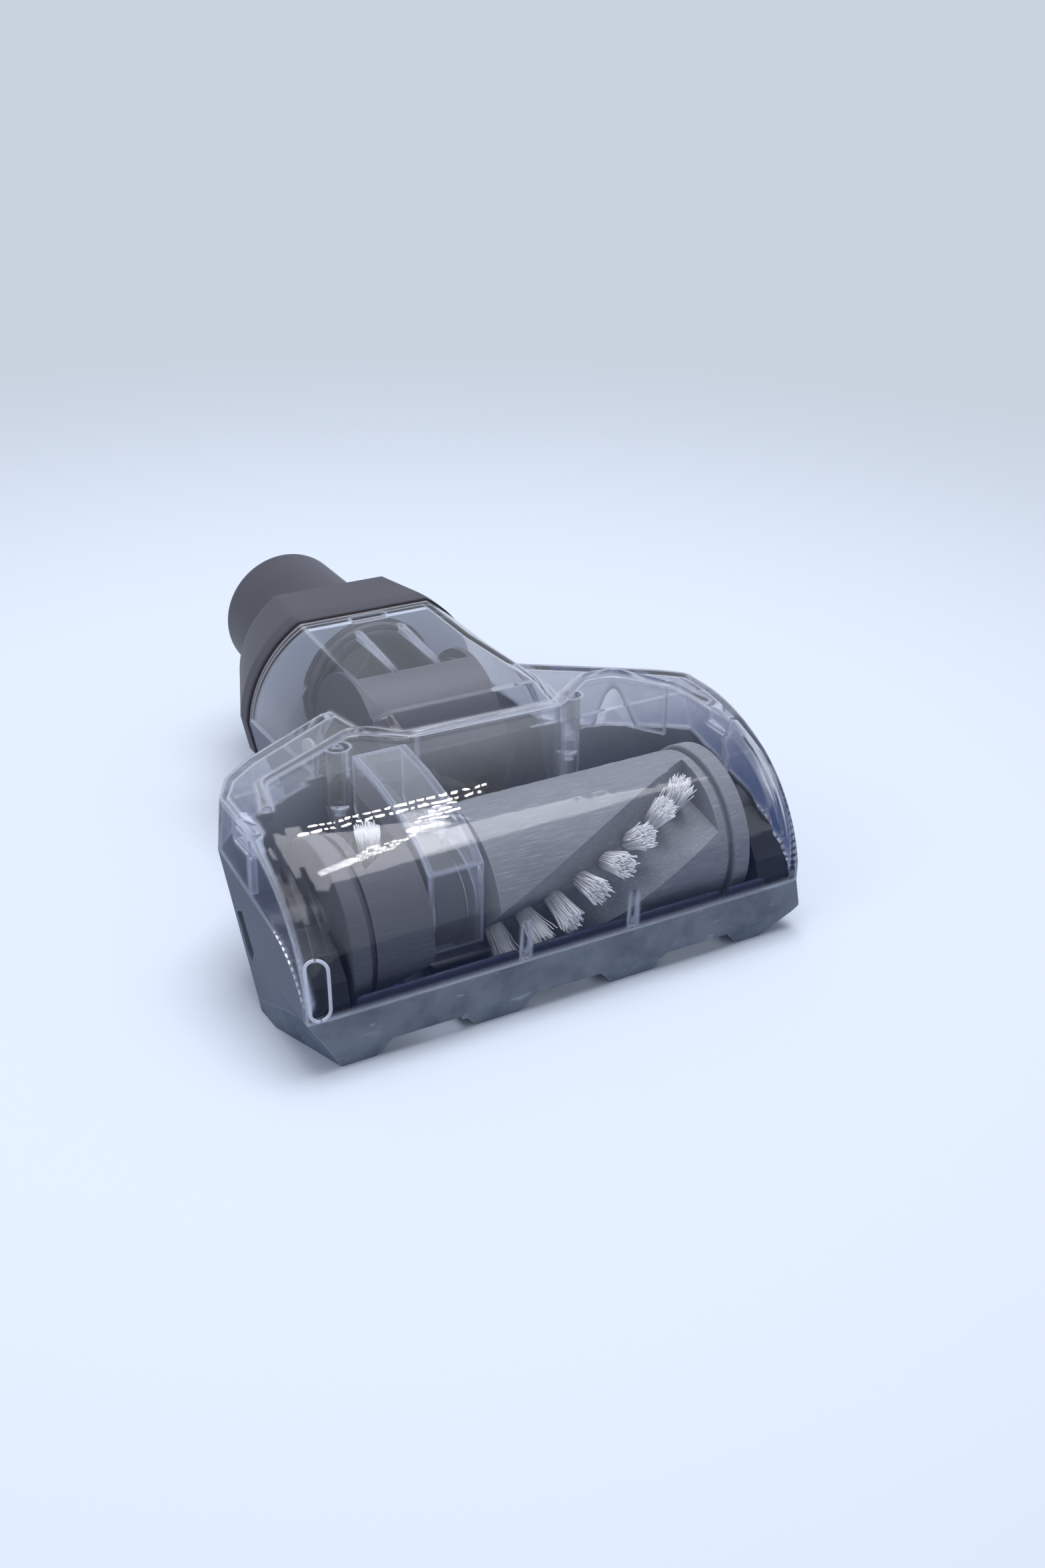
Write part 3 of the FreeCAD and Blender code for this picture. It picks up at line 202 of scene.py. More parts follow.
@dataclass(frozen=True)
class MouldedPlastic:
    """Injection-moulded ABS or polypropylene with a fine spark-eroded grain.

    The grain breaks up every highlight, handling leaves paler edges, and dust and rubbing leave soft
    blotches. The real grain is finer than a render shows, so it is drawn coarse enough to be seen.
    """

    name: str
    colour: str
    shade: str
    edge: str
    roughness: float = 0.5
    roughness_spread: float = 0.07
    ior: float = 1.5
    grain_mm: float = 0.45
    grain_depth_mm: float = 0.012
    grain_range: tuple[float, float] = (0.3, 0.7)
    blotch_mm: float = 22.0
    blotch_range: tuple[float, float] = (0.42, 0.72)
    blotch_share: float = 0.5
    streak: Lay = Lay.NONE
    streak_mm: float = 0.5
    streak_range: tuple[float, float] = (0.5, 0.75)
    streak_share: float = 0.0
    scratch_mm: float = 1.111
    scratch_lay: tuple[float, float, float] = (0.12, 1.0, 0.5)
    scratch_range: tuple[float, float] = (0.66, 0.74)
    scratch_share: float = 0.0
    edge_mm: float = 0.6
    edge_range: tuple[float, float] = (0.995, 0.9)
    edge_share: float = 0.5
    round_mm: float = 0.35
    # the colour of the painted shade on the brush chamber's inner faces
    inside: str | None = None
    # the colour of the painted light on the neck duct's inner faces
    duct: str = "#c3cad8"

    def material(self) -> bpy.types.Material:
        """Builds the material of this finish.

        Returns:
            A material whose colour, roughness and bump all come from the object's own coordinates.
        """
        material = empty_material(self.name)
        tree = material.node_tree
        place = add_node(tree, "ShaderNodeTexCoord")
        colour = self._colour(tree, place)
        bump, grain = self._relief(tree, place)
        rough = add_node(tree, "ShaderNodeMapRange", {
            "From Min": self.grain_range[0], "From Max": self.grain_range[1],
            "To Min": self.roughness - self.roughness_spread,
            "To Max": self.roughness + self.roughness_spread}, {"Value": grain})
        shader = add_node(tree, "ShaderNodeBsdfPrincipled", {"IOR": self.ior}, {
            "Base Color": colour, "Roughness": rough.outputs["Result"], "Normal": bump})
        add_node(tree, "ShaderNodeOutputMaterial", None, {"Surface": shader.outputs["BSDF"]})
        return material

    def _colour(self, tree: bpy.types.NodeTree, place: bpy.types.Node) -> bpy.types.NodeSocket:
        """Lays blotches, streaks, scratches and paler edges over the base colour.

        Args:
            tree: the material's node tree.
            place: its texture coordinate node.

        Returns:
            The socket that carries the finished colour.
        """
        cloud = add_node(tree, "ShaderNodeTexNoise", {
            "Scale": PER_METRE / self.blotch_mm, "Detail": 5.0, "Roughness": 0.62},
            {"Vector": place.outputs["Object"]})
        spread = add_node(tree, "ShaderNodeMapRange", {
            "From Min": self.blotch_range[0], "From Max": self.blotch_range[1], "To Max": self.blotch_share},
            {"Value": cloud.outputs["Fac"]})
        mixed = add_node(tree, "ShaderNodeMix", {
            "data_type": "RGBA", 6: linear(self.colour), 7: linear(self.shade)},
            {0: spread.outputs["Result"]})
        colour = mixed.outputs[2]
        if self.streak_share > 0:
            colour = self._streaks(tree, place, colour)
        if self.scratch_share > 0:
            colour = self._scratches(tree, place, colour)
        colour = self._worn_edges(tree, colour)
        return self._painted_shade_inside(tree, place, colour) if self.inside else colour

    def _painted_shade_inside(self, tree: bpy.types.NodeTree, place: bpy.types.Node,
                     colour: bpy.types.NodeSocket) -> bpy.types.NodeSocket:
        """Paints shade on the brush chamber's inner walls and floors, darkening them, and paints light on the
        neck's duct, paling it.

        Args:
            tree: the material's node tree.
            place: its texture coordinate node.
            colour: the colour so far.

        Returns:
            The colour with the chamber's inner faces darker and the duct's paler.
        """
        flat = add_node(tree, "ShaderNodeNewGeometry")
        reach = add_node(tree, "ShaderNodeVectorMath", {"operation": "SUBTRACT", 1: (0.0, CHAMBER_Y, 0.0)},
                         {0: place.outputs["Object"]})
        level = add_node(tree, "ShaderNodeVectorMath", {"operation": "MULTIPLY", 1: (1.0, 1.0, 0.0)},
                         {0: reach.outputs[0]})
        outward = add_node(tree, "ShaderNodeVectorMath", {"operation": "DOT_PRODUCT"},
                           {0: level.outputs[0], 1: flat.outputs["Normal"]})
        inward = add_node(tree, "ShaderNodeMapRange", {
            "From Min": FACING_INWARDS[0], "From Max": FACING_INWARDS[1]},
            {"Value": outward.outputs["Value"]})
        where = add_node(tree, "ShaderNodeSeparateXYZ", None, {"Vector": place.outputs["Object"]})
        facing = add_node(tree, "ShaderNodeSeparateXYZ", None, {"Vector": flat.outputs["Normal"]})
        upward = add_node(tree, "ShaderNodeMapRange", {"From Min": FACING_UP[0], "From Max": FACING_UP[1]},
                          {"Value": facing.outputs["Z"]})
        low = add_node(tree, "ShaderNodeMapRange", {
            "From Min": TOP_OF_FLOORS[0], "From Max": TOP_OF_FLOORS[1]}, {"Value": where.outputs["Z"]})
        floors = add_node(tree, "ShaderNodeMath", {"operation": "MULTIPLY"},
                          {0: upward.outputs["Result"], 1: low.outputs["Result"]})
        either = add_node(tree, "ShaderNodeMath", {"operation": "MAXIMUM"},
                          {0: inward.outputs["Result"], 1: floors.outputs[0]})
        front = add_node(tree, "ShaderNodeMapRange", {
            "From Min": BACK_OF_CHAMBER[0], "From Max": BACK_OF_CHAMBER[1]}, {"Value": where.outputs["Y"]})
        right = add_node(tree, "ShaderNodeMapRange", {
            "From Min": LEFT_OF_CHAMBER[0], "From Max": LEFT_OF_CHAMBER[1], "To Min": LEFT_SHADE_SHARE},
            {"Value": where.outputs["X"]})
        chamber = add_node(tree, "ShaderNodeMath", {"operation": "MULTIPLY"},
                           {0: front.outputs["Result"], 1: right.outputs["Result"]})
        share = add_node(tree, "ShaderNodeMath", {"operation": "MULTIPLY"},
                         {0: either.outputs[0], 1: chamber.outputs[0]})
        # painted shade: the chamber's inner faces and floors darkened towards the inside colour
        painted_shade = add_node(tree, "ShaderNodeMix", {"data_type": "RGBA", 7: linear(self.inside)},
                         {0: share.outputs[0], 6: colour})
        rear = add_node(tree, "ShaderNodeMapRange", {
            "From Min": FRONT_OF_DUCT[0], "From Max": FRONT_OF_DUCT[1]}, {"Value": where.outputs["Y"]})
        duct = add_node(tree, "ShaderNodeMath", {"operation": "MULTIPLY"},
                        {0: either.outputs[0], 1: rear.outputs["Result"]})
        # painted light: the duct's inner faces and floors paled towards the duct colour
        mixed = add_node(tree, "ShaderNodeMix", {"data_type": "RGBA", 7: linear(self.duct)},
                         {0: duct.outputs[0], 6: painted_shade.outputs[2]})
        return mixed.outputs[2]

    def _streaks(self, tree: bpy.types.NodeTree, place: bpy.types.Node,
                 colour: bpy.types.NodeSocket) -> bpy.types.NodeSocket:
        """Adds fine streaks that run one way, as a mould's polishing or rubbing leaves them.

        Args:
            tree: the material's node tree.
            place: its texture coordinate node.
            colour: the colour so far.

        Returns:
            The colour with the streaks in it.
        """
        stretch = add_node(tree, "ShaderNodeVectorMath", {"operation": "MULTIPLY", 1: self.streak.value},
                           {0: place.outputs["Object"]})
        lines = add_node(tree, "ShaderNodeTexNoise", {
            "Scale": PER_METRE / self.streak_mm, "Detail": 3.0, "Roughness": 0.6},
            {"Vector": stretch.outputs[0]})
        amount = add_node(tree, "ShaderNodeMapRange", {
            "From Min": self.streak_range[0], "From Max": self.streak_range[1], "To Max": self.streak_share},
            {"Value": lines.outputs["Fac"]})
        mixed = add_node(tree, "ShaderNodeMix", {"data_type": "RGBA", 7: linear(self.edge)},
                         {0: amount.outputs["Result"], 6: colour})
        return mixed.outputs[2]

    def _scratches(self, tree: bpy.types.NodeTree, place: bpy.types.Node,
                   colour: bpy.types.NodeSocket) -> bpy.types.NodeSocket:
        """Adds sparse pale scratches that run across the head, along x.

        Args:
            tree: the material's node tree.
            place: its texture coordinate node.
            colour: the colour so far.

        Returns:
            The colour with the scratches in it.
        """
        warp = add_node(tree, "ShaderNodeVectorMath", {"operation": "MULTIPLY", 1: self.scratch_lay},
                        {0: place.outputs["Object"]})
        lines = add_node(tree, "ShaderNodeTexNoise", {
            "Scale": PER_METRE / self.scratch_mm, "Detail": 2.0, "Distortion": 0.4},
            {"Vector": warp.outputs[0]})
        amount = add_node(tree, "ShaderNodeMapRange", {
            "From Min": self.scratch_range[0], "From Max": self.scratch_range[1],
            "To Max": self.scratch_share}, {"Value": lines.outputs["Fac"]})
        mixed = add_node(tree, "ShaderNodeMix", {"data_type": "RGBA", 7: linear(self.edge)},
                         {0: amount.outputs["Result"], 6: colour})
        return mixed.outputs[2]

    def _worn_edges(self, tree: bpy.types.NodeTree, colour: bpy.types.NodeSocket) -> bpy.types.NodeSocket:
        """Makes the outer edges paler, where handling rubs them.

        Args:
            tree: the material's node tree.
            colour: the colour so far.

        Returns:
            The colour with pale edges.
        """
        rounded = add_node(tree, "ShaderNodeBevel", {"Radius": self.edge_mm * MM})
        flat = add_node(tree, "ShaderNodeNewGeometry")
        facing = add_node(tree, "ShaderNodeVectorMath", {"operation": "DOT_PRODUCT"},
                          {0: rounded.outputs["Normal"], 1: flat.outputs["Normal"]})
        amount = add_node(tree, "ShaderNodeMapRange", {
            "From Min": self.edge_range[0], "From Max": self.edge_range[1], "To Max": self.edge_share},
            {"Value": facing.outputs["Value"]})
        mixed = add_node(tree, "ShaderNodeMix", {"data_type": "RGBA", 7: linear(self.edge)},
                         {0: amount.outputs["Result"], 6: colour})
        return mixed.outputs[2]

    def _relief(self, tree: bpy.types.NodeTree,
                place: bpy.types.Node) -> tuple[bpy.types.NodeSocket, bpy.types.NodeSocket]:
        """Makes the moulded grain over edges that look rounded.

        Args:
            tree: the material's node tree.
            place: its texture coordinate node.

        Returns:
            The normal with the grain in it, and the grain's own pattern.
        """
        grain = add_node(tree, "ShaderNodeTexNoise", {
            "Scale": PER_METRE / self.grain_mm, "Detail": 2.0}, {"Vector": place.outputs["Object"]})
        rounded = add_node(tree, "ShaderNodeBevel", {"Radius": self.round_mm * MM})
        bump = add_node(tree, "ShaderNodeBump", {"Strength": 1.0, "Distance": self.grain_depth_mm * MM},
                        {"Height": grain.outputs["Fac"], "Normal": rounded.outputs["Normal"]})
        return bump.outputs["Normal"], grain.outputs["Fac"]


@dataclass(frozen=True)
class ClearPolycarbonate:
    """Clear polycarbonate, injection moulded and polished.

    It bends what lies behind it and mirrors lamps sharply. Its edges carry a pale lavender painted highlight in
    place of the light that thick rounded edges bend and mirror, faces seen along their length take a milky
    painted sheen, and its thick corners gather a slate blue tint.
    """

    name: str = "clear_polycarbonate_moulded"
    tint: str = "#fdfdff"
    shade: str = "#fafbfe"
    # the pale colour of a face's mist, of the painted highlight on the edges and of the painted sheen
    frost_and_highlight: str = "#cfd6ea"
    depth_colour: str = "#7886b4"
    depth_density: float = 6.0
    ior: float = 1.5
    roughness: float = 0.004
    haze: float = 0.014
    haze_mm: float = 14.0
    haze_range: tuple[float, float] = (0.5, 0.8)
    ripple_mm: float = 7.0
    ripple_depth_mm: float = 0.04
    round_mm: float = 1.0
    edge_mm: float = 1.9
    edge_range: tuple[float, float] = (0.985, 0.90)
    # how pale the edges are painted: a painted highlight
    edge_highlight: float = 0.75
    face_frost: float = 0.0
    # how milky a face seen along its length is painted: a painted sheen
    grazing_sheen: float = 0.16
    grazing_sheen_power: float = 3.0
    most_passes: float = 5.0

    def material(self) -> bpy.types.Material:
        """Builds the material of this finish.

        Returns:
            A refracting material that lets light through to what it covers.
        """
        material = empty_material(self.name)
        tree = material.node_tree
        place = add_node(tree, "ShaderNodeTexCoord")
        ripple = add_node(tree, "ShaderNodeTexNoise", {
            "Scale": PER_METRE / self.ripple_mm, "Detail": 1.5}, {"Vector": place.outputs["Object"]})
        rounded = add_node(tree, "ShaderNodeBevel", {"Radius": self.round_mm * MM})
        bump = add_node(tree, "ShaderNodeBump", {"Strength": 1.0, "Distance": self.ripple_depth_mm * MM},
                        {"Height": ripple.outputs["Fac"], "Normal": rounded.outputs["Normal"]})
        haze = add_node(tree, "ShaderNodeTexNoise", {
            "Scale": PER_METRE / self.haze_mm, "Detail": 6.0, "Roughness": 0.7},
            {"Vector": place.outputs["Object"]})
        rough = add_node(tree, "ShaderNodeMapRange", {
            "From Min": self.haze_range[0], "From Max": self.haze_range[1],
            "To Min": self.roughness, "To Max": self.roughness + self.haze}, {"Value": haze.outputs["Fac"]})
        clear = add_node(tree, "ShaderNodeMath", {"operation": "SUBTRACT", 0: 1.0}, {1: self._frost_and_highlight(tree)})
        tone = add_node(tree, "ShaderNodeMix", {
            "data_type": "RGBA", 6: linear(self.frost_and_highlight), 7: linear(self.tint)}, {0: clear.outputs[0]})
        plastic = add_node(tree, "ShaderNodeBsdfPrincipled", {"IOR": self.ior}, {
            "Base Color": tone.outputs[2], "Transmission Weight": clear.outputs[0],
            "Roughness": rough.outputs["Result"], "Normal": bump.outputs["Normal"]})
        passing = add_node(tree, "ShaderNodeBsdfTransparent", {"Color": linear(self.shade)})
        surface = add_node(tree, "ShaderNodeMixShader", None, {
            0: self._unseen(tree), 1: plastic.outputs["BSDF"], 2: passing.outputs["BSDF"]})
        depth = add_node(tree, "ShaderNodeVolumeAbsorption", {
            "Color": linear(self.depth_colour), "Density": self.depth_density})
        add_node(tree, "ShaderNodeOutputMaterial", None, {
            "Surface": surface.outputs["Shader"], "Volume": depth.outputs["Volume"]})
        return material

    def _frost_and_highlight(self, tree: bpy.types.NodeTree) -> bpy.types.NodeSocket:
        """Finds how pale and cloudy each place is: the edges much, with a painted highlight, a face by its own
        mist, and more where it is seen along its length, with a painted sheen.

        Args:
            tree: the material's node tree.

        Returns:
            The share of light that the surface scatters.
        """
        rounded = add_node(tree, "ShaderNodeBevel", {"Radius": self.edge_mm * MM})
        flat = add_node(tree, "ShaderNodeNewGeometry")
        facing = add_node(tree, "ShaderNodeVectorMath", {"operation": "DOT_PRODUCT"},
                          {0: rounded.outputs["Normal"], 1: flat.outputs["Normal"]})
        # painted highlight: the edges paler
        amount = add_node(tree, "ShaderNodeMapRange", {
            "From Min": self.edge_range[0], "From Max": self.edge_range[1],
            "To Min": self.face_frost, "To Max": self.edge_highlight}, {"Value": facing.outputs["Value"]})
        # painted sheen: milkier where a face is seen along its length
        slant = add_node(tree, "ShaderNodeLayerWeight", {"Blend": 0.5})
        steep = add_node(tree, "ShaderNodeMath", {"operation": "POWER", 1: self.grazing_sheen_power},
                         {0: slant.outputs["Facing"]})
        painted_sheen = add_node(tree, "ShaderNodeMath", {"operation": "MULTIPLY", 1: self.grazing_sheen},
                        {0: steep.outputs[0]})
        most = add_node(tree, "ShaderNodeMath", {"operation": "MAXIMUM"},
                        {0: amount.outputs["Result"], 1: painted_sheen.outputs[0]})
        return most.outputs[0]

    def _unseen(self, tree: bpy.types.NodeTree) -> bpy.types.NodeSocket:
        """Finds the rays that pass straight through: shadow rays, diffuse ones and often bent ones.

        Args:
            tree: the material's node tree.

        Returns:
            One for a ray that passes straight through, otherwise nought.
        """
        ray = add_node(tree, "ShaderNodeLightPath")
        deep = add_node(tree, "ShaderNodeMath", {"operation": "GREATER_THAN", 1: self.most_passes},
                        {0: ray.outputs["Transmission Depth"]})
        soft = add_node(tree, "ShaderNodeMath", {"operation": "MAXIMUM"},
                        {0: ray.outputs["Is Shadow Ray"], 1: ray.outputs["Is Diffuse Ray"]})
        both = add_node(tree, "ShaderNodeMath", {"operation": "MAXIMUM"},
                        {0: deep.outputs[0], 1: soft.outputs[0]})
        return both.outputs[0]


@dataclass(frozen=True)
class NylonBristle:
    """Extruded white nylon monofilament, cut in tufts.

    It is soft to light, so a tuft glows white inside; the slightly greyer tone at its root is painted shade.
    """

    name: str = "nylon_bristle_cut"
    colour: str = "#fefefe"
    # the tone of the painted shade at a tuft's root
    root: str = "#f4f5f7"
    roughness: float = 0.42
    ior: float = 1.53
    glow_share: float = 0.5
    glow_mm: float = 0.5

    def material(self) -> bpy.types.Material:
        """Builds the material of this finish.

        Returns:
            A soft white material with painted shade that greys it a little towards the tufts' roots.
        """
        material = empty_material(self.name)
        tree = material.node_tree
        reach = add_node(tree, "ShaderNodeAttribute", {"attribute_name": "reach"})
        tone = add_node(tree, "ShaderNodeMix", {
            "data_type": "RGBA", 6: linear(self.root), 7: linear(self.colour)}, {0: reach.outputs["Fac"]})
        shader = add_node(tree, "ShaderNodeBsdfPrincipled", {
            "Roughness": self.roughness, "IOR": self.ior, "Subsurface Weight": self.glow_share,
            "Subsurface Radius": (1.0, 1.0, 1.0), "Subsurface Scale": self.glow_mm * MM},
            {"Base Color": tone.outputs[2]})
        add_node(tree, "ShaderNodeOutputMaterial", None, {"Surface": shader.outputs["BSDF"]})
        return material


@dataclass(frozen=True)
class TurnedMetal:
    """Bar stock turned on a lathe, or sintered bronze, with fine marks of the tool or the pores."""

    name: str
    colour: str
    roughness: float = 0.3
    smoother: float = 0.08
    rougher: float = 0.1
    mark_mm: float = 0.25
    mark_depth_mm: float = 0.01
    mark_strength: float = 0.6

    def material(self) -> bpy.types.Material:
        """Builds the material of this finish.

        Returns:
            A metal whose roughness and bump carry fine machining marks.
        """
        material = empty_material(self.name)
        tree = material.node_tree
        place = add_node(tree, "ShaderNodeTexCoord")
        marks = add_node(tree, "ShaderNodeTexNoise", {
            "Scale": PER_METRE / self.mark_mm, "Detail": 3.0}, {"Vector": place.outputs["Object"]})
        bump = add_node(tree, "ShaderNodeBump", {
            "Strength": self.mark_strength, "Distance": self.mark_depth_mm * MM},
            {"Height": marks.outputs["Fac"]})
        rough = add_node(tree, "ShaderNodeMapRange", {
            "To Min": self.roughness - self.smoother, "To Max": self.roughness + self.rougher},
            {"Value": marks.outputs["Fac"]})
        shader = add_node(tree, "ShaderNodeBsdfPrincipled", {
            "Base Color": linear(self.colour), "Metallic": 1.0},
            {"Roughness": rough.outputs["Result"], "Normal": bump.outputs["Normal"]})
        add_node(tree, "ShaderNodeOutputMaterial", None, {"Surface": shader.outputs["BSDF"]})
        return material


# Moulded ABS in a mid blue grey, a satin face that shows dust as soft clouds, with painted shade darkening the
# brush chamber's inner faces and painted light paling the neck duct's
HOUSING_ABS = MouldedPlastic("abs_grey_moulded", "#787d89", "#6b717d", "#a2a8b3", roughness=0.46,
                             edge_share=0.45, inside="#182040")
# Moulded polypropylene that rubs along the floor, blotched, nicked and pale along its edges
SOLE_POLYPROPYLENE = MouldedPlastic("polypropylene_sole_moulded", "#78818c", "#545d6b", "#a9b1bb",
                                    roughness=0.42, blotch_mm=11.0, blotch_share=0.9, scratch_share=0.55,
                                    edge_share=0.6)
# Moulded ABS in charcoal, a fine even grain and soft broad edges
CHARCOAL_ABS = MouldedPlastic("abs_charcoal_moulded", "#46454d", "#3d3c44", "#62616a", roughness=0.4,
                              grain_mm=0.3, edge_share=0.2, round_mm=2.5)
# Moulded black ABS, near black with thin pale edges
BLACK_ABS = MouldedPlastic("abs_black_moulded", "#12141f", "#0e1019", "#3a4054", roughness=0.45,
                           grain_mm=0.8, grain_depth_mm=0.008, edge_share=0.45)
# Moulded polypropylene brush core, satin grey with fine streaks along its length
ROLL_POLYPROPYLENE = MouldedPlastic("polypropylene_roll_moulded", "#7b7e84", "#6a6d74", "#a6a9ae",
                                    roughness=0.62, grain_mm=0.6, grain_depth_mm=0.005, blotch_mm=9.0,
                                    streak=Lay.ALONG_X, streak_mm=0.35, streak_share=0.6,
                                    scratch_share=0.35, edge_share=0.3)
# The same polypropylene on the short half, darker with painted shade where the belt guard's layers cover it
SHADED_POLYPROPYLENE = MouldedPlastic("polypropylene_roll_painted_shade", "#505158", "#414249", "#76767c",
                                     roughness=0.6, grain_mm=0.6, grain_depth_mm=0.005,
                                     streak=Lay.ALONG_X, streak_mm=0.35, streak_share=0.3, edge_share=0.35)
# Moulded ABS turbine parts in a dark warm grey
TURBINE_ABS = MouldedPlastic("abs_turbine_moulded", "#3a3942", "#302f37", "#5c5b66", roughness=0.5)
# Moulded acetal gears, a waxy off-white
PULLEY_ACETAL = MouldedPlastic("acetal_pulley_moulded", "#d9d8d0", "#c9c7bd", "#e8e7e1", roughness=0.36)
# Moulded neoprene belt, matt black with a dusty bloom
BELT_NEOPRENE = MouldedPlastic("neoprene_belt_moulded", "#1d1e21", "#2b2c2f", "#3c3d40", roughness=0.7,
                               grain_mm=0.7, grain_depth_mm=0.004)
# Moulded nitrile gasket, a brown black line at the neck
GASKET_NITRILE = MouldedPlastic("nitrile_gasket_moulded", "#3a2a27", "#2b211f", "#5a4038", roughness=0.65)
# Navy black and dull strips of painted shade, for the shaded recess behind the front lip
LIP_SHADE_NAVY = MouldedPlastic("painted_shade_navy", "#1f2740", "#181e33", "#3a4566", roughness=0.5)
# Ground steel axles, a bright narrow highlight
AXLE_STEEL = TurnedMetal("steel_ground", "#b9bcc2", roughness=0.22)
# Zinc-plated steel screws, duller and faintly blue
SCREW_STEEL = TurnedMetal("steel_zinc_plated", "#a9aeb8", roughness=0.34)
# Sintered bronze bushes, a porous warm metal
BUSH_BRONZE = TurnedMetal("bronze_sintered", "#b08a57", roughness=0.4, mark_mm=0.35)
# Clear polished polycarbonate, all but invisible on its faces and pale along its edges with a painted highlight
COVER_POLYCARBONATE = ClearPolycarbonate()
# The same clear plastic with a misted inner face, milky where the belt runs behind it, with more painted sheen
# where it is seen along its length
GUARD_POLYCARBONATE = ClearPolycarbonate("polycarbonate_guard_misted", frost_and_highlight="#9aa5c0", edge_mm=1.4,
                                         face_frost=0.06, grazing_sheen=0.3)
# The same clear plastic in thick beads, frosted to a pale lavender, with a painted highlight along their edges
RIM_POLYCARBONATE = ClearPolycarbonate("polycarbonate_bead_frosted", edge_highlight=0.7, face_frost=0.35)
# Cut nylon bristles, bright white and softly see-through
BRISTLE_NYLON = NylonBristle()


@dataclass
class HardParts:
    """The carried-over solids, each with the finish of its own plastic, rubber or metal."""

    finishes: tuple[tuple[MouldedPlastic | TurnedMetal | ClearPolycarbonate, tuple[str, ...]], ...] = (
        (HOUSING_ABS, ("lower_housing",)),
        (SOLE_POLYPROPYLENE, ("sole_plate",)),
        (CHARCOAL_ABS, ("neck_collar", "nozzle_cuff", "nozzle_ring")),
        (BLACK_ABS, ("end_block_left", "end_block_right", "belt_guard_foot")),
        (ROLL_POLYPROPYLENE, ("brush_core_right",)),
        (SHADED_POLYPROPYLENE, ("brush_core_left",)),
        (TURBINE_ABS, ("turbine_housing", "impeller")),
        (PULLEY_ACETAL, ("brush_pulley", "turbine_pulley")),
        (BELT_NEOPRENE, ("drive_belt",)),
        (GASKET_NITRILE, ("neck_gasket",)),
        (AXLE_STEEL, ("brush_axle", "turbine_shaft", "thrust_washer_left", "thrust_washer_right")),
        (SCREW_STEEL, ("cover_screws", "sole_screws", "turbine_bearing_left", "turbine_bearing_right")),
        (BUSH_BRONZE, ("brush_bush_left", "brush_bush_right")),
        (COVER_POLYCARBONATE, ("clear_cover",)),
        (GUARD_POLYCARBONATE, ("belt_guard",)),
    )

    def dress(self) -> int:
        """Gives every carried-over solid its material.

        Returns:
            How many solids were dressed.
        """
        count = 0
        for finish, nodes in self.finishes:
            material = finish.material()
            for node in nodes:
                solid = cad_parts[node]
                solid.data.materials.clear()
                solid.data.materials.append(material)
                count += 1
        return count


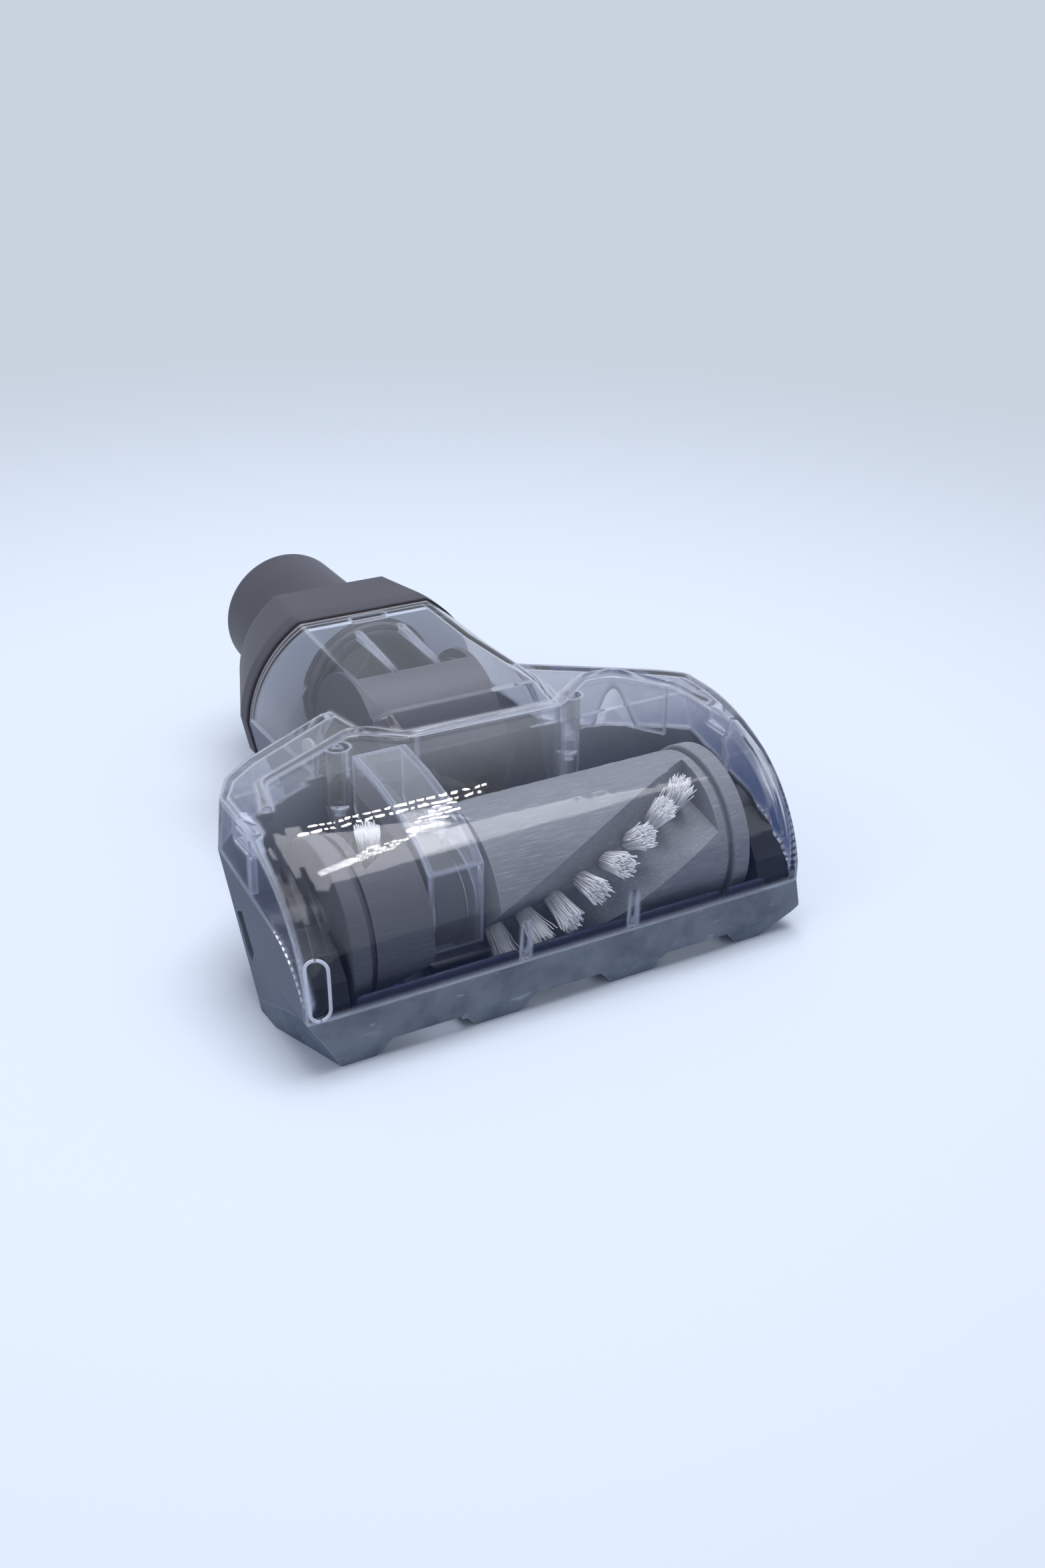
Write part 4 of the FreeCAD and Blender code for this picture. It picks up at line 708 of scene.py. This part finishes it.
@dataclass
class BristleRows:
    """The tufts of one half of the roll, grown bristle by bristle over the tufts' plain solids."""

    node: str
    seed: int
    bristles: int = 210
    bristle_mm: float = 0.28
    foot_share: float = 0.72
    splay: float = 0.34
    splay_spread: tuple[float, float] = (-0.08, 0.12)
    scatter_mm: float = 0.27
    lean_mm: float = 0.5
    stray_share: float = 0.05
    stray_reach: float = 2.2
    shortest_share: float = 0.86
    bend: float = 1.7
    sides: int = 4
    rings: int = 4
    weld_mm: float = 0.005

    def tufts(self) -> list[tuple[Vector, Vector, float]]:
        """Finds the tufts' solids in the node's mesh.

        Returns:
            The root, the tip and the radius of each tuft, in metres.
        """
        low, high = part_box("brush_axle")
        middle = (low + high) / 2
        build = bmesh.new()
        build.from_mesh(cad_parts[self.node].data)
        bmesh.ops.remove_doubles(build, verts=build.verts, dist=self.weld_mm * MM)
        build.verts.index_update()
        seen = [False] * len(build.verts)
        found = []
        for first in build.verts:
            if seen[first.index]:
                continue
            seen[first.index] = True
            heap = [first]
            island = []
            while heap:
                vert = heap.pop()
                island.append(vert.co.copy())
                for edge in vert.link_edges:
                    other = edge.other_vert(vert)
                    if not seen[other.index]:
                        seen[other.index] = True
                        heap.append(other)
            found.append(self._ends(island, middle))
        build.free()
        return found

    def _ends(self, island: list[Vector], middle: Vector) -> tuple[Vector, Vector, float]:
        """Measures one tuft's solid along the roll's radius through it.

        Args:
            island: the solid's corners.
            middle: a point on the roll's axis.

        Returns:
            The tuft's root and tip on its own axis, and its radius.
        """
        centre = sum(island, Vector()) / len(island)
        out = Vector((0, centre.y - middle.y, centre.z - middle.z)).normalized()
        along = [(co - centre).dot(out) for co in island]
        radius = max(abs(co.x - centre.x) for co in island)
        return centre + out * min(along), centre + out * max(along), radius

    def build(self) -> bpy.types.Object:
        """Grows every tuft of this half as thin splayed bristles in one mesh.

        Returns:
            The bristle piece, which stands for the node.
        """
        dice = random.Random(self.seed)
        mesh = bmesh.new()
        reach = mesh.verts.layers.float.new("reach")
        for root, tip, radius in self.tufts():
            self._grow(mesh, reach, dice, root, tip, radius)
        piece = mesh_object(self.node + "_grown", mesh)
        piece.data.materials.append(BRISTLE_NYLON.material())
        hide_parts(self.node)
        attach(piece, "brush_roll")
        return piece

    def _grow(self, mesh: bmesh.types.BMesh, reach: bmesh.types.BMLayerItem, dice: random.Random,
              root: Vector, tip: Vector, radius: float) -> None:
        """Grows one tuft.

        Args:
            mesh: the mesh that takes the bristles.
            reach: the layer that keeps how far along its bristle a corner is.
            dice: the seeded source of every chance.
            root: the tuft's lower end.
            tip: its upper end.
            radius: its widest radius.
        """
        out = (tip - root).normalized()
        across = Vector((1, 0, 0))
        beside = out.cross(across)
        length = (tip - root).length
        lean = Vector((dice.uniform(-self.lean_mm, self.lean_mm), dice.uniform(-self.lean_mm, self.lean_mm)))
        for i in range(self.bristles):
            share = math.sqrt((i + 0.5) / self.bristles)
            turn = i * GOLDEN_TURN
            foot = Vector((math.cos(turn), math.sin(turn))) * share * radius * self.foot_share
            fan = foot * (self.splay + dice.uniform(*self.splay_spread)) + Vector(
                (dice.gauss(0, self.scatter_mm), dice.gauss(0, self.scatter_mm))) * MM + lean * MM
            if dice.random() < self.stray_share:
                fan *= self.stray_reach
            high = length * dice.uniform(self.shortest_share, 1.0)
            points = []
            for k in range(self.rings):
                t = k / (self.rings - 1)
                flat = foot + fan * t ** self.bend
                points.append(root + out * (high * t) + across * flat.x + beside * flat.y)
            self._bristle(mesh, reach, points, across, beside)

    def _bristle(self, mesh: bmesh.types.BMesh, reach: bmesh.types.BMLayerItem, points: list[Vector],
                 across: Vector, beside: Vector) -> None:
        """Builds one bristle as a thin closed tube through its points.

        Args:
            mesh: the mesh that takes the bristle.
            reach: the layer that keeps how far along its bristle a corner is.
            points: the bristle's centre line.
            across: one direction across the tuft.
            beside: the other direction across the tuft.
        """
        rings = []
        for k, point in enumerate(points):
            ring = []
            for s in range(self.sides):
                turn = 2 * math.pi * s / self.sides
                offset = (across * math.cos(turn) + beside * math.sin(turn)) * self.bristle_mm * MM / 2
                vert = mesh.verts.new(point + offset)
                vert[reach] = k / (len(points) - 1)
                ring.append(vert)
            rings.append(ring)
        skin(mesh, rings)


@dataclass
class LipShadeStrips:
    """Dark strips of painted shade that lie behind the front lip, in four lengths, for the shaded recess there.
    """

    spans_mm: tuple[tuple[float, float], ...] = ((-57.0, -13.5), (-10.5, 17.5), (20.5, 46.0), (48.0, 60.0))
    front_mm: float = -86.75
    width_mm: float = 1.25
    bottom_mm: float = 14.4
    height_mm: float = 3.6
    taper: tuple[tuple[float, float], ...] = ((0.0, 0.35), (0.4, 0.8), (1.2, 1.0))
    squareness: float = 0.7
    sides: int = 16

    def build(self) -> bpy.types.Object:
        """Builds the strips as rounded bars whose ends taper.

        Returns:
            The piece that holds all the strips.
        """
        build = bmesh.new()
        for start, end in self.spans_mm:
            self._bar(build, start, end)
        piece = mesh_object("lip_painted_shade_strips", build)
        piece.data.materials.append(LIP_SHADE_NAVY.material())
        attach(piece, "housing")
        return piece

    def _bar(self, build: bmesh.types.BMesh, start: float, end: float) -> None:
        """Builds one strip as rings along its length, smaller towards both ends as the taper says.

        Args:
            build: the mesh that takes it.
            start: the x of its left end, in millimetres.
            end: the x of its right end, in millimetres.
        """
        stations = [(start + far, share) for far, share in self.taper]
        stations.append((start + (end - start) / 2, 1.0))
        stations += [(end - far, share) for far, share in reversed(self.taper)]
        middle = Vector((0, self.front_mm + self.width_mm / 2, self.bottom_mm + self.height_mm / 2))
        rings = []
        for x, share in stations:
            ring = []
            for k in range(self.sides):
                turn = 2 * math.pi * (k + 0.5) / self.sides
                c, s = math.cos(turn), math.sin(turn)
                square = max(abs(c), abs(s)) ** self.squareness
                ring.append(build.verts.new((
                    x * MM, (middle.y + c / square * self.width_mm / 2 * share) * MM,
                    (middle.z + s / square * self.height_mm / 2 * share) * MM)))
            rings.append(ring)
        skin(build, rings)


@dataclass
class GateMarks:
    """The two small round marks on the sole's front, where the mould was filled."""

    places_mm: tuple[tuple[float, float], ...] = ((-29.1, 4.2), (42.8, 5.3))
    profile_mm: tuple[tuple[float, float], ...] = (
        (1.1, -0.15), (0.95, 0.02), (0.75, 0.10), (0.58, 0.02), (0.45, -0.06), (0.3, 0.02), (0.16, 0.08))
    sides: int = 20

    def build(self, sole: BVHTree) -> bpy.types.Object:
        """Turns each mark's profile about the front face's normal.

        Args:
            sole: the sole's faces, for finding its front.

        Returns:
            The piece that holds both marks.
        """
        build = bmesh.new()
        for x, z in self.places_mm:
            centre, normal = front_of(sole, x, z)
            side = normal.orthogonal().normalized()
            beside = normal.cross(side)
            rings = []
            for radius, height in self.profile_mm:
                ring = []
                for k in range(self.sides):
                    turn = 2 * math.pi * k / self.sides
                    level = side * math.cos(turn) * radius + beside * math.sin(turn) * radius
                    ring.append(build.verts.new(centre + (level + normal * height) * MM))
                rings.append(ring)
            skin(build, rings)
        piece = mesh_object("sole_gate_marks", build)
        piece.data.materials.append(SOLE_POLYPROPYLENE.material())
        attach(piece, "housing")
        return piece


@dataclass
class CornerClip:
    """One moulded loop at a lower corner of the clear hood, where it snaps over the sole."""

    name: str
    left_mm: float
    right_mm: float
    bottom_mm: float
    top_mm: float
    corner_mm: float = 2.6
    bead_mm: float = 0.45
    steps: int = 7
    sides: int = 10

    def _loop(self) -> list[tuple[float, float]]:
        """Walks round a rectangle with rounded corners.

        Returns:
            The x and z of each point of the loop, in millimetres.
        """
        points = []
        for cx, cz, start in ((self.right_mm, self.top_mm, 0), (self.left_mm, self.top_mm, 90),
                              (self.left_mm, self.bottom_mm, 180), (self.right_mm, self.bottom_mm, 270)):
            x = cx - self.corner_mm if cx == self.right_mm else cx + self.corner_mm
            z = cz - self.corner_mm if cz == self.top_mm else cz + self.corner_mm
            for k in range(self.steps):
                turn = math.radians(start + 90 * k / (self.steps - 1))
                points.append((x + math.cos(turn) * self.corner_mm, z + math.sin(turn) * self.corner_mm))
        return points

    def build(self, shell: BVHTree) -> bpy.types.Object:
        """Lays the loop as a half-sunk bead on the hood's front face.

        Args:
            shell: the clear hood's faces, for finding its front.

        Returns:
            The loop.
        """
        centre = []
        for x, z in self._loop():
            point, normal = front_of(shell, x, z)
            if point is not None:
                centre.append((point, normal))
        build = bmesh.new()
        rings = []
        for k, (place, normal) in enumerate(centre):
            along = (centre[(k + 1) % len(centre)][0] - centre[k - 1][0]).normalized()
            beside = along.cross(normal).normalized()
            ring = []
            for i in range(self.sides):
                turn = 2 * math.pi * i / self.sides
                reach = normal * math.cos(turn) + beside * math.sin(turn)
                ring.append(build.verts.new(place + reach * self.bead_mm * MM))
            rings.append(ring)
        for k, ring in enumerate(rings):
            other = rings[k - 1]
            for i in range(self.sides):
                build.faces.new((other[i], other[i - 1], ring[i - 1], ring[i]))
        bmesh.ops.recalc_face_normals(build, faces=build.faces)
        piece = mesh_object(self.name, build)
        piece.data.materials.append(RIM_POLYCARBONATE.material())
        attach(piece, "housing")
        return piece


@dataclass
class LampRow:
    """One strip of small lamps in the studio's ceiling, seen only as glints on glossy faces."""

    name: str
    start: tuple[float, float, float]
    end: tuple[float, float, float]
    rows: int
    row_step: tuple[float, float, float]
    lamps: int
    length: float = 0.0034
    width: float = 0.0050
    strength: float = 60.0

    def build(self) -> bpy.types.Object:
        """Builds the strip's small bright faces, all turned to the object, every other row half a step on.

        Returns:
            The strip, which isn't part of the object.
        """
        build = bmesh.new()
        start, end, step = Vector(self.start), Vector(self.end), Vector(self.row_step)
        along = (end - start).normalized()
        for row in range(self.rows):
            for k in range(self.lamps):
                middle = start + step * row + (end - start) * (k + 0.5 * (row % 2)) / self.lamps
                beside = along.cross(middle.normalized()).normalized() * self.width / 2
                reach = along * self.length / 2
                sides = (-reach - beside, reach - beside, reach + beside, -reach + beside)
                build.faces.new([build.verts.new(middle + side) for side in sides])
        strip = mesh_object(self.name, build)
        material = empty_material("lamp_diode_lit")
        shine = add_node(material.node_tree, "ShaderNodeEmission", {"Strength": self.strength})
        add_node(material.node_tree, "ShaderNodeOutputMaterial", None, {"Surface": shine.outputs["Emission"]})
        strip.data.materials.append(material)
        strip.visible_camera = False
        strip.visible_diffuse = False
        strip.visible_transmission = False
        strip.visible_volume_scatter = False
        strip.visible_shadow = False
        return strip


@dataclass
class Studio:
    """The pale floor, the soft light round the object and its lamps."""

    floor_colour: str = "#dde5f1"
    far_colour: str = "#c9d3e0"
    mirrored_front: str = "#3d4c74"
    mirrored_back: str = "#cdd6e6"
    light_colour: str = "#f9fafc"
    shade_colour: str = "#e3ebfa"
    sky_strength: float = 0.45
    glossy_strength: float = 1.0
    mirrored_sky: tuple[float, float] = (0.25, 0.95)
    mirrored_floor: tuple[float, float] = (-0.02, 0.16)
    floor_size: float = 30.0
    backdrop_start: float = 0.16
    backdrop_full: float = 0.60
    paper_roughness: float = 0.6
    paper_gloss: float = 0.2

    def build(self) -> bpy.types.Object:
        """Builds the floor, the world and the lamps.

        Returns:
            The floor.
        """
        self._world()
        self._lamp("top_softbox", place=(0.12, 0.06, 1.15), target=(0.0, 0.0, 0.0), size=0.9, power=12.0)
        self._lamp("left_softbox", place=(-1.1, -0.2, 0.8), target=(0.0, 0.0, 0.02), size=0.7, power=3.0)
        LampRow("lamp_strip_front", start=(0.066, -0.115, 0.430), end=(0.145, 0.090, 0.380),
                rows=3, row_step=(0.0, 0.019, -0.0035), lamps=18).build()
        LampRow("lamp_strip_back", start=(0.071, 0.124, 0.380), end=(0.162, 0.112, 0.366),
                rows=2, row_step=(0.004, 0.020, -0.006), lamps=17).build()
        return self._floor()

    def _world(self) -> None:
        """Sets the world: an even soft light, a pale backdrop where it is seen, the room where mirrored."""
        world = bpy.data.worlds.new("pale_studio")
        bpy.context.scene.world = world
        world.use_nodes = True
        tree = world.node_tree
        tree.nodes.clear()
        ray = add_node(tree, "ShaderNodeLightPath")
        seen = add_node(tree, "ShaderNodeMath", {"operation": "MAXIMUM"},
                        {0: ray.outputs["Is Camera Ray"], 1: ray.outputs["Is Transmission Ray"]})
        light = add_node(tree, "ShaderNodeBackground", {
            "Color": linear(self.shade_colour), "Strength": self.sky_strength})
        where = add_node(tree, "ShaderNodeTexCoord")
        mirrored = add_node(tree, "ShaderNodeBackground", {"Strength": self.glossy_strength}, {
            "Color": self._room(tree, where.outputs["Generated"], *self.mirrored_sky)})
        sky = add_node(tree, "ShaderNodeBackground", {"Color": linear(self.far_colour), "Strength": 1.0})
        lit = add_node(tree, "ShaderNodeMixShader", None, {
            0: ray.outputs["Is Glossy Ray"], 1: light.outputs["Background"],
            2: mirrored.outputs["Background"]})
        both = add_node(tree, "ShaderNodeMixShader", None, {
            0: seen.outputs[0], 1: lit.outputs["Shader"], 2: sky.outputs["Background"]})
        add_node(tree, "ShaderNodeOutputWorld", None, {"Surface": both.outputs["Shader"]})

    def _room(self, tree: bpy.types.NodeTree, place: bpy.types.NodeSocket, dark: float,
              pale: float) -> bpy.types.NodeSocket:
        """Gives the tone that gloss mirrors: a dark blue room in front of the part, a pale one behind it.

        Args:
            tree: the floor's or the world's node tree.
            place: the socket with the place or the direction that is mirrored.
            dark: the y up to which the room is dark.
            pale: the y from which it is pale.

        Returns:
            The socket that carries the colour.
        """
        depth = add_node(tree, "ShaderNodeSeparateXYZ", None, {"Vector": place})
        share = add_node(tree, "ShaderNodeMapRange", {
            "interpolation_type": "SMOOTHSTEP", "From Min": dark, "From Max": pale},
            {"Value": depth.outputs["Y"]})
        tone = add_node(tree, "ShaderNodeMix", {
            "data_type": "RGBA", 6: linear(self.mirrored_front), 7: linear(self.mirrored_back)},
            {0: share.outputs["Result"]})
        return tone.outputs[2]

    def _lamp(self, name: str, place: tuple[float, float, float], target: tuple[float, float, float],
              size: float, power: float) -> None:
        """Adds one square soft lamp that no glossy face mirrors.

        Args:
            name: the lamp's name.
            place: where it stands.
            target: the point that it faces.
            size: its side, in metres.
            power: its power, in watts.
        """
        lamp = bpy.data.lights.new(name, "AREA")
        lamp.shape = "SQUARE"
        lamp.size = size
        lamp.energy = power
        lamp.color = linear(self.light_colour)[:3]
        holder = bpy.data.objects.new(name, lamp)
        holder.location = place
        facing = Vector(target) - Vector(place)
        holder.rotation_euler = facing.to_track_quat("-Z", "Y").to_euler()
        holder.visible_glossy = False
        bpy.context.scene.collection.objects.link(holder)

    def _floor(self) -> bpy.types.Object:
        """Lays the floor under the part: matt near it, and an evenly lit backdrop further off; to glossy rays
        it glows with a painted reflection, dark blue in front of the part and pale behind it.

        Returns:
            The floor, which isn't part of the object.
        """
        build = bmesh.new()
        bmesh.ops.create_grid(build, x_segments=2, y_segments=2, size=self.floor_size / 2)
        floor = mesh_object("studio_floor", build)
        material = empty_material("paper_backdrop_matt")
        tree = material.node_tree
        place = add_node(tree, "ShaderNodeTexCoord")
        away = add_node(tree, "ShaderNodeVectorMath", {"operation": "LENGTH"}, {0: place.outputs["Object"]})
        share = add_node(tree, "ShaderNodeMapRange", {
            "interpolation_type": "SMOOTHSTEP",
            "From Min": self.backdrop_start, "From Max": self.backdrop_full}, {"Value": away.outputs["Value"]})
        ray = add_node(tree, "ShaderNodeLightPath")
        bent = add_node(tree, "ShaderNodeMath", {"operation": "MAXIMUM"},
                        {0: ray.outputs["Is Camera Ray"], 1: ray.outputs["Is Transmission Ray"]})
        seen = add_node(tree, "ShaderNodeMath", {"operation": "MULTIPLY"},
                        {0: bent.outputs[0], 1: share.outputs["Result"]})
        paper = add_node(tree, "ShaderNodeBsdfPrincipled", {
            "Base Color": linear(self.floor_colour), "Roughness": self.paper_roughness,
            "Specular IOR Level": self.paper_gloss})
        far = add_node(tree, "ShaderNodeEmission", {"Color": linear(self.far_colour), "Strength": 1.0})
        both = add_node(tree, "ShaderNodeMixShader", None, {
            0: seen.outputs[0], 1: paper.outputs["BSDF"], 2: far.outputs["Emission"]})
        # painted reflection: glossy rays see the floor glow dark blue in front of the part, pale behind it
        painted_reflection = add_node(tree, "ShaderNodeEmission", {"Strength": self.glossy_strength}, {
            "Color": self._room(tree, place.outputs["Object"], *self.mirrored_floor)})
        mirrored = add_node(tree, "ShaderNodeMixShader", None, {
            0: ray.outputs["Is Glossy Ray"], 1: both.outputs["Shader"], 2: painted_reflection.outputs["Emission"]})
        add_node(tree, "ShaderNodeOutputMaterial", None, {"Surface": mirrored.outputs["Shader"]})
        floor.data.materials.append(material)
        return floor


@dataclass
class PhotoCamera:
    """The camera at the photograph's place and angle."""

    azimuth: float = -30.32
    elevation: float = 28.11
    roll: float = 1.47
    place: tuple[float, float, float] = (-0.1919, -0.3915, 0.2520)
    focal_pixels: float = 2602.0
    sensor_mm: float = 36.0
    nearest: float = 0.01

    def build(self) -> bpy.types.Object:
        """Makes the camera and gives it to the scene.

        Returns:
            The camera.
        """
        data = bpy.data.cameras.new("photo_camera")
        data.sensor_width = self.sensor_mm
        data.lens = self.focal_pixels / PHOTO_HEIGHT * self.sensor_mm
        data.clip_start = self.nearest
        camera = bpy.data.objects.new("photo_camera", data)
        a, e, r = (math.radians(value) for value in (self.azimuth, self.elevation, self.roll))
        back = Vector((math.sin(a) * math.cos(e), -math.cos(a) * math.cos(e), math.sin(e)))
        level = Vector((math.cos(a), math.sin(a), 0.0))
        upright = back.cross(level)
        right = level * math.cos(r) + upright * math.sin(r)
        up = upright * math.cos(r) - level * math.sin(r)
        camera.matrix_world = Matrix.Translation(self.place) @ Matrix((right, up, back)).transposed().to_4x4()
        bpy.context.scene.collection.objects.link(camera)
        bpy.context.scene.camera = camera
        return camera


def main() -> None:
    """Builds the scene piece by piece."""
    logging.basicConfig(level=logging.INFO, format="%(message)s")
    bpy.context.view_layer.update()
    bpy.context.scene.view_settings.view_transform = "Standard"
    camera = PhotoCamera().build()
    log.info("camera %s: lens %.2f mm", camera.name, camera.data.lens)
    floor = Studio().build()
    log.info("studio: %s and lamps", floor.name)
    log.info("hard parts: %d solids dressed", HardParts().dress())
    clip = CornerClip("corner_clip_left", left_mm=-69.2, right_mm=-64.2, bottom_mm=15.6, top_mm=31.0)
    for piece in (BristleRows("bristles_left", seed=3).build(), BristleRows("bristles_right", seed=7).build(),
                  LipShadeStrips().build(), clip.build(faces_of("clear_cover")),
                  GateMarks().build(faces_of("sole_plate"))):
        log.info("%s: %d faces", piece.name, len(piece.data.polygons))


if __name__ == "__main__":
    main()
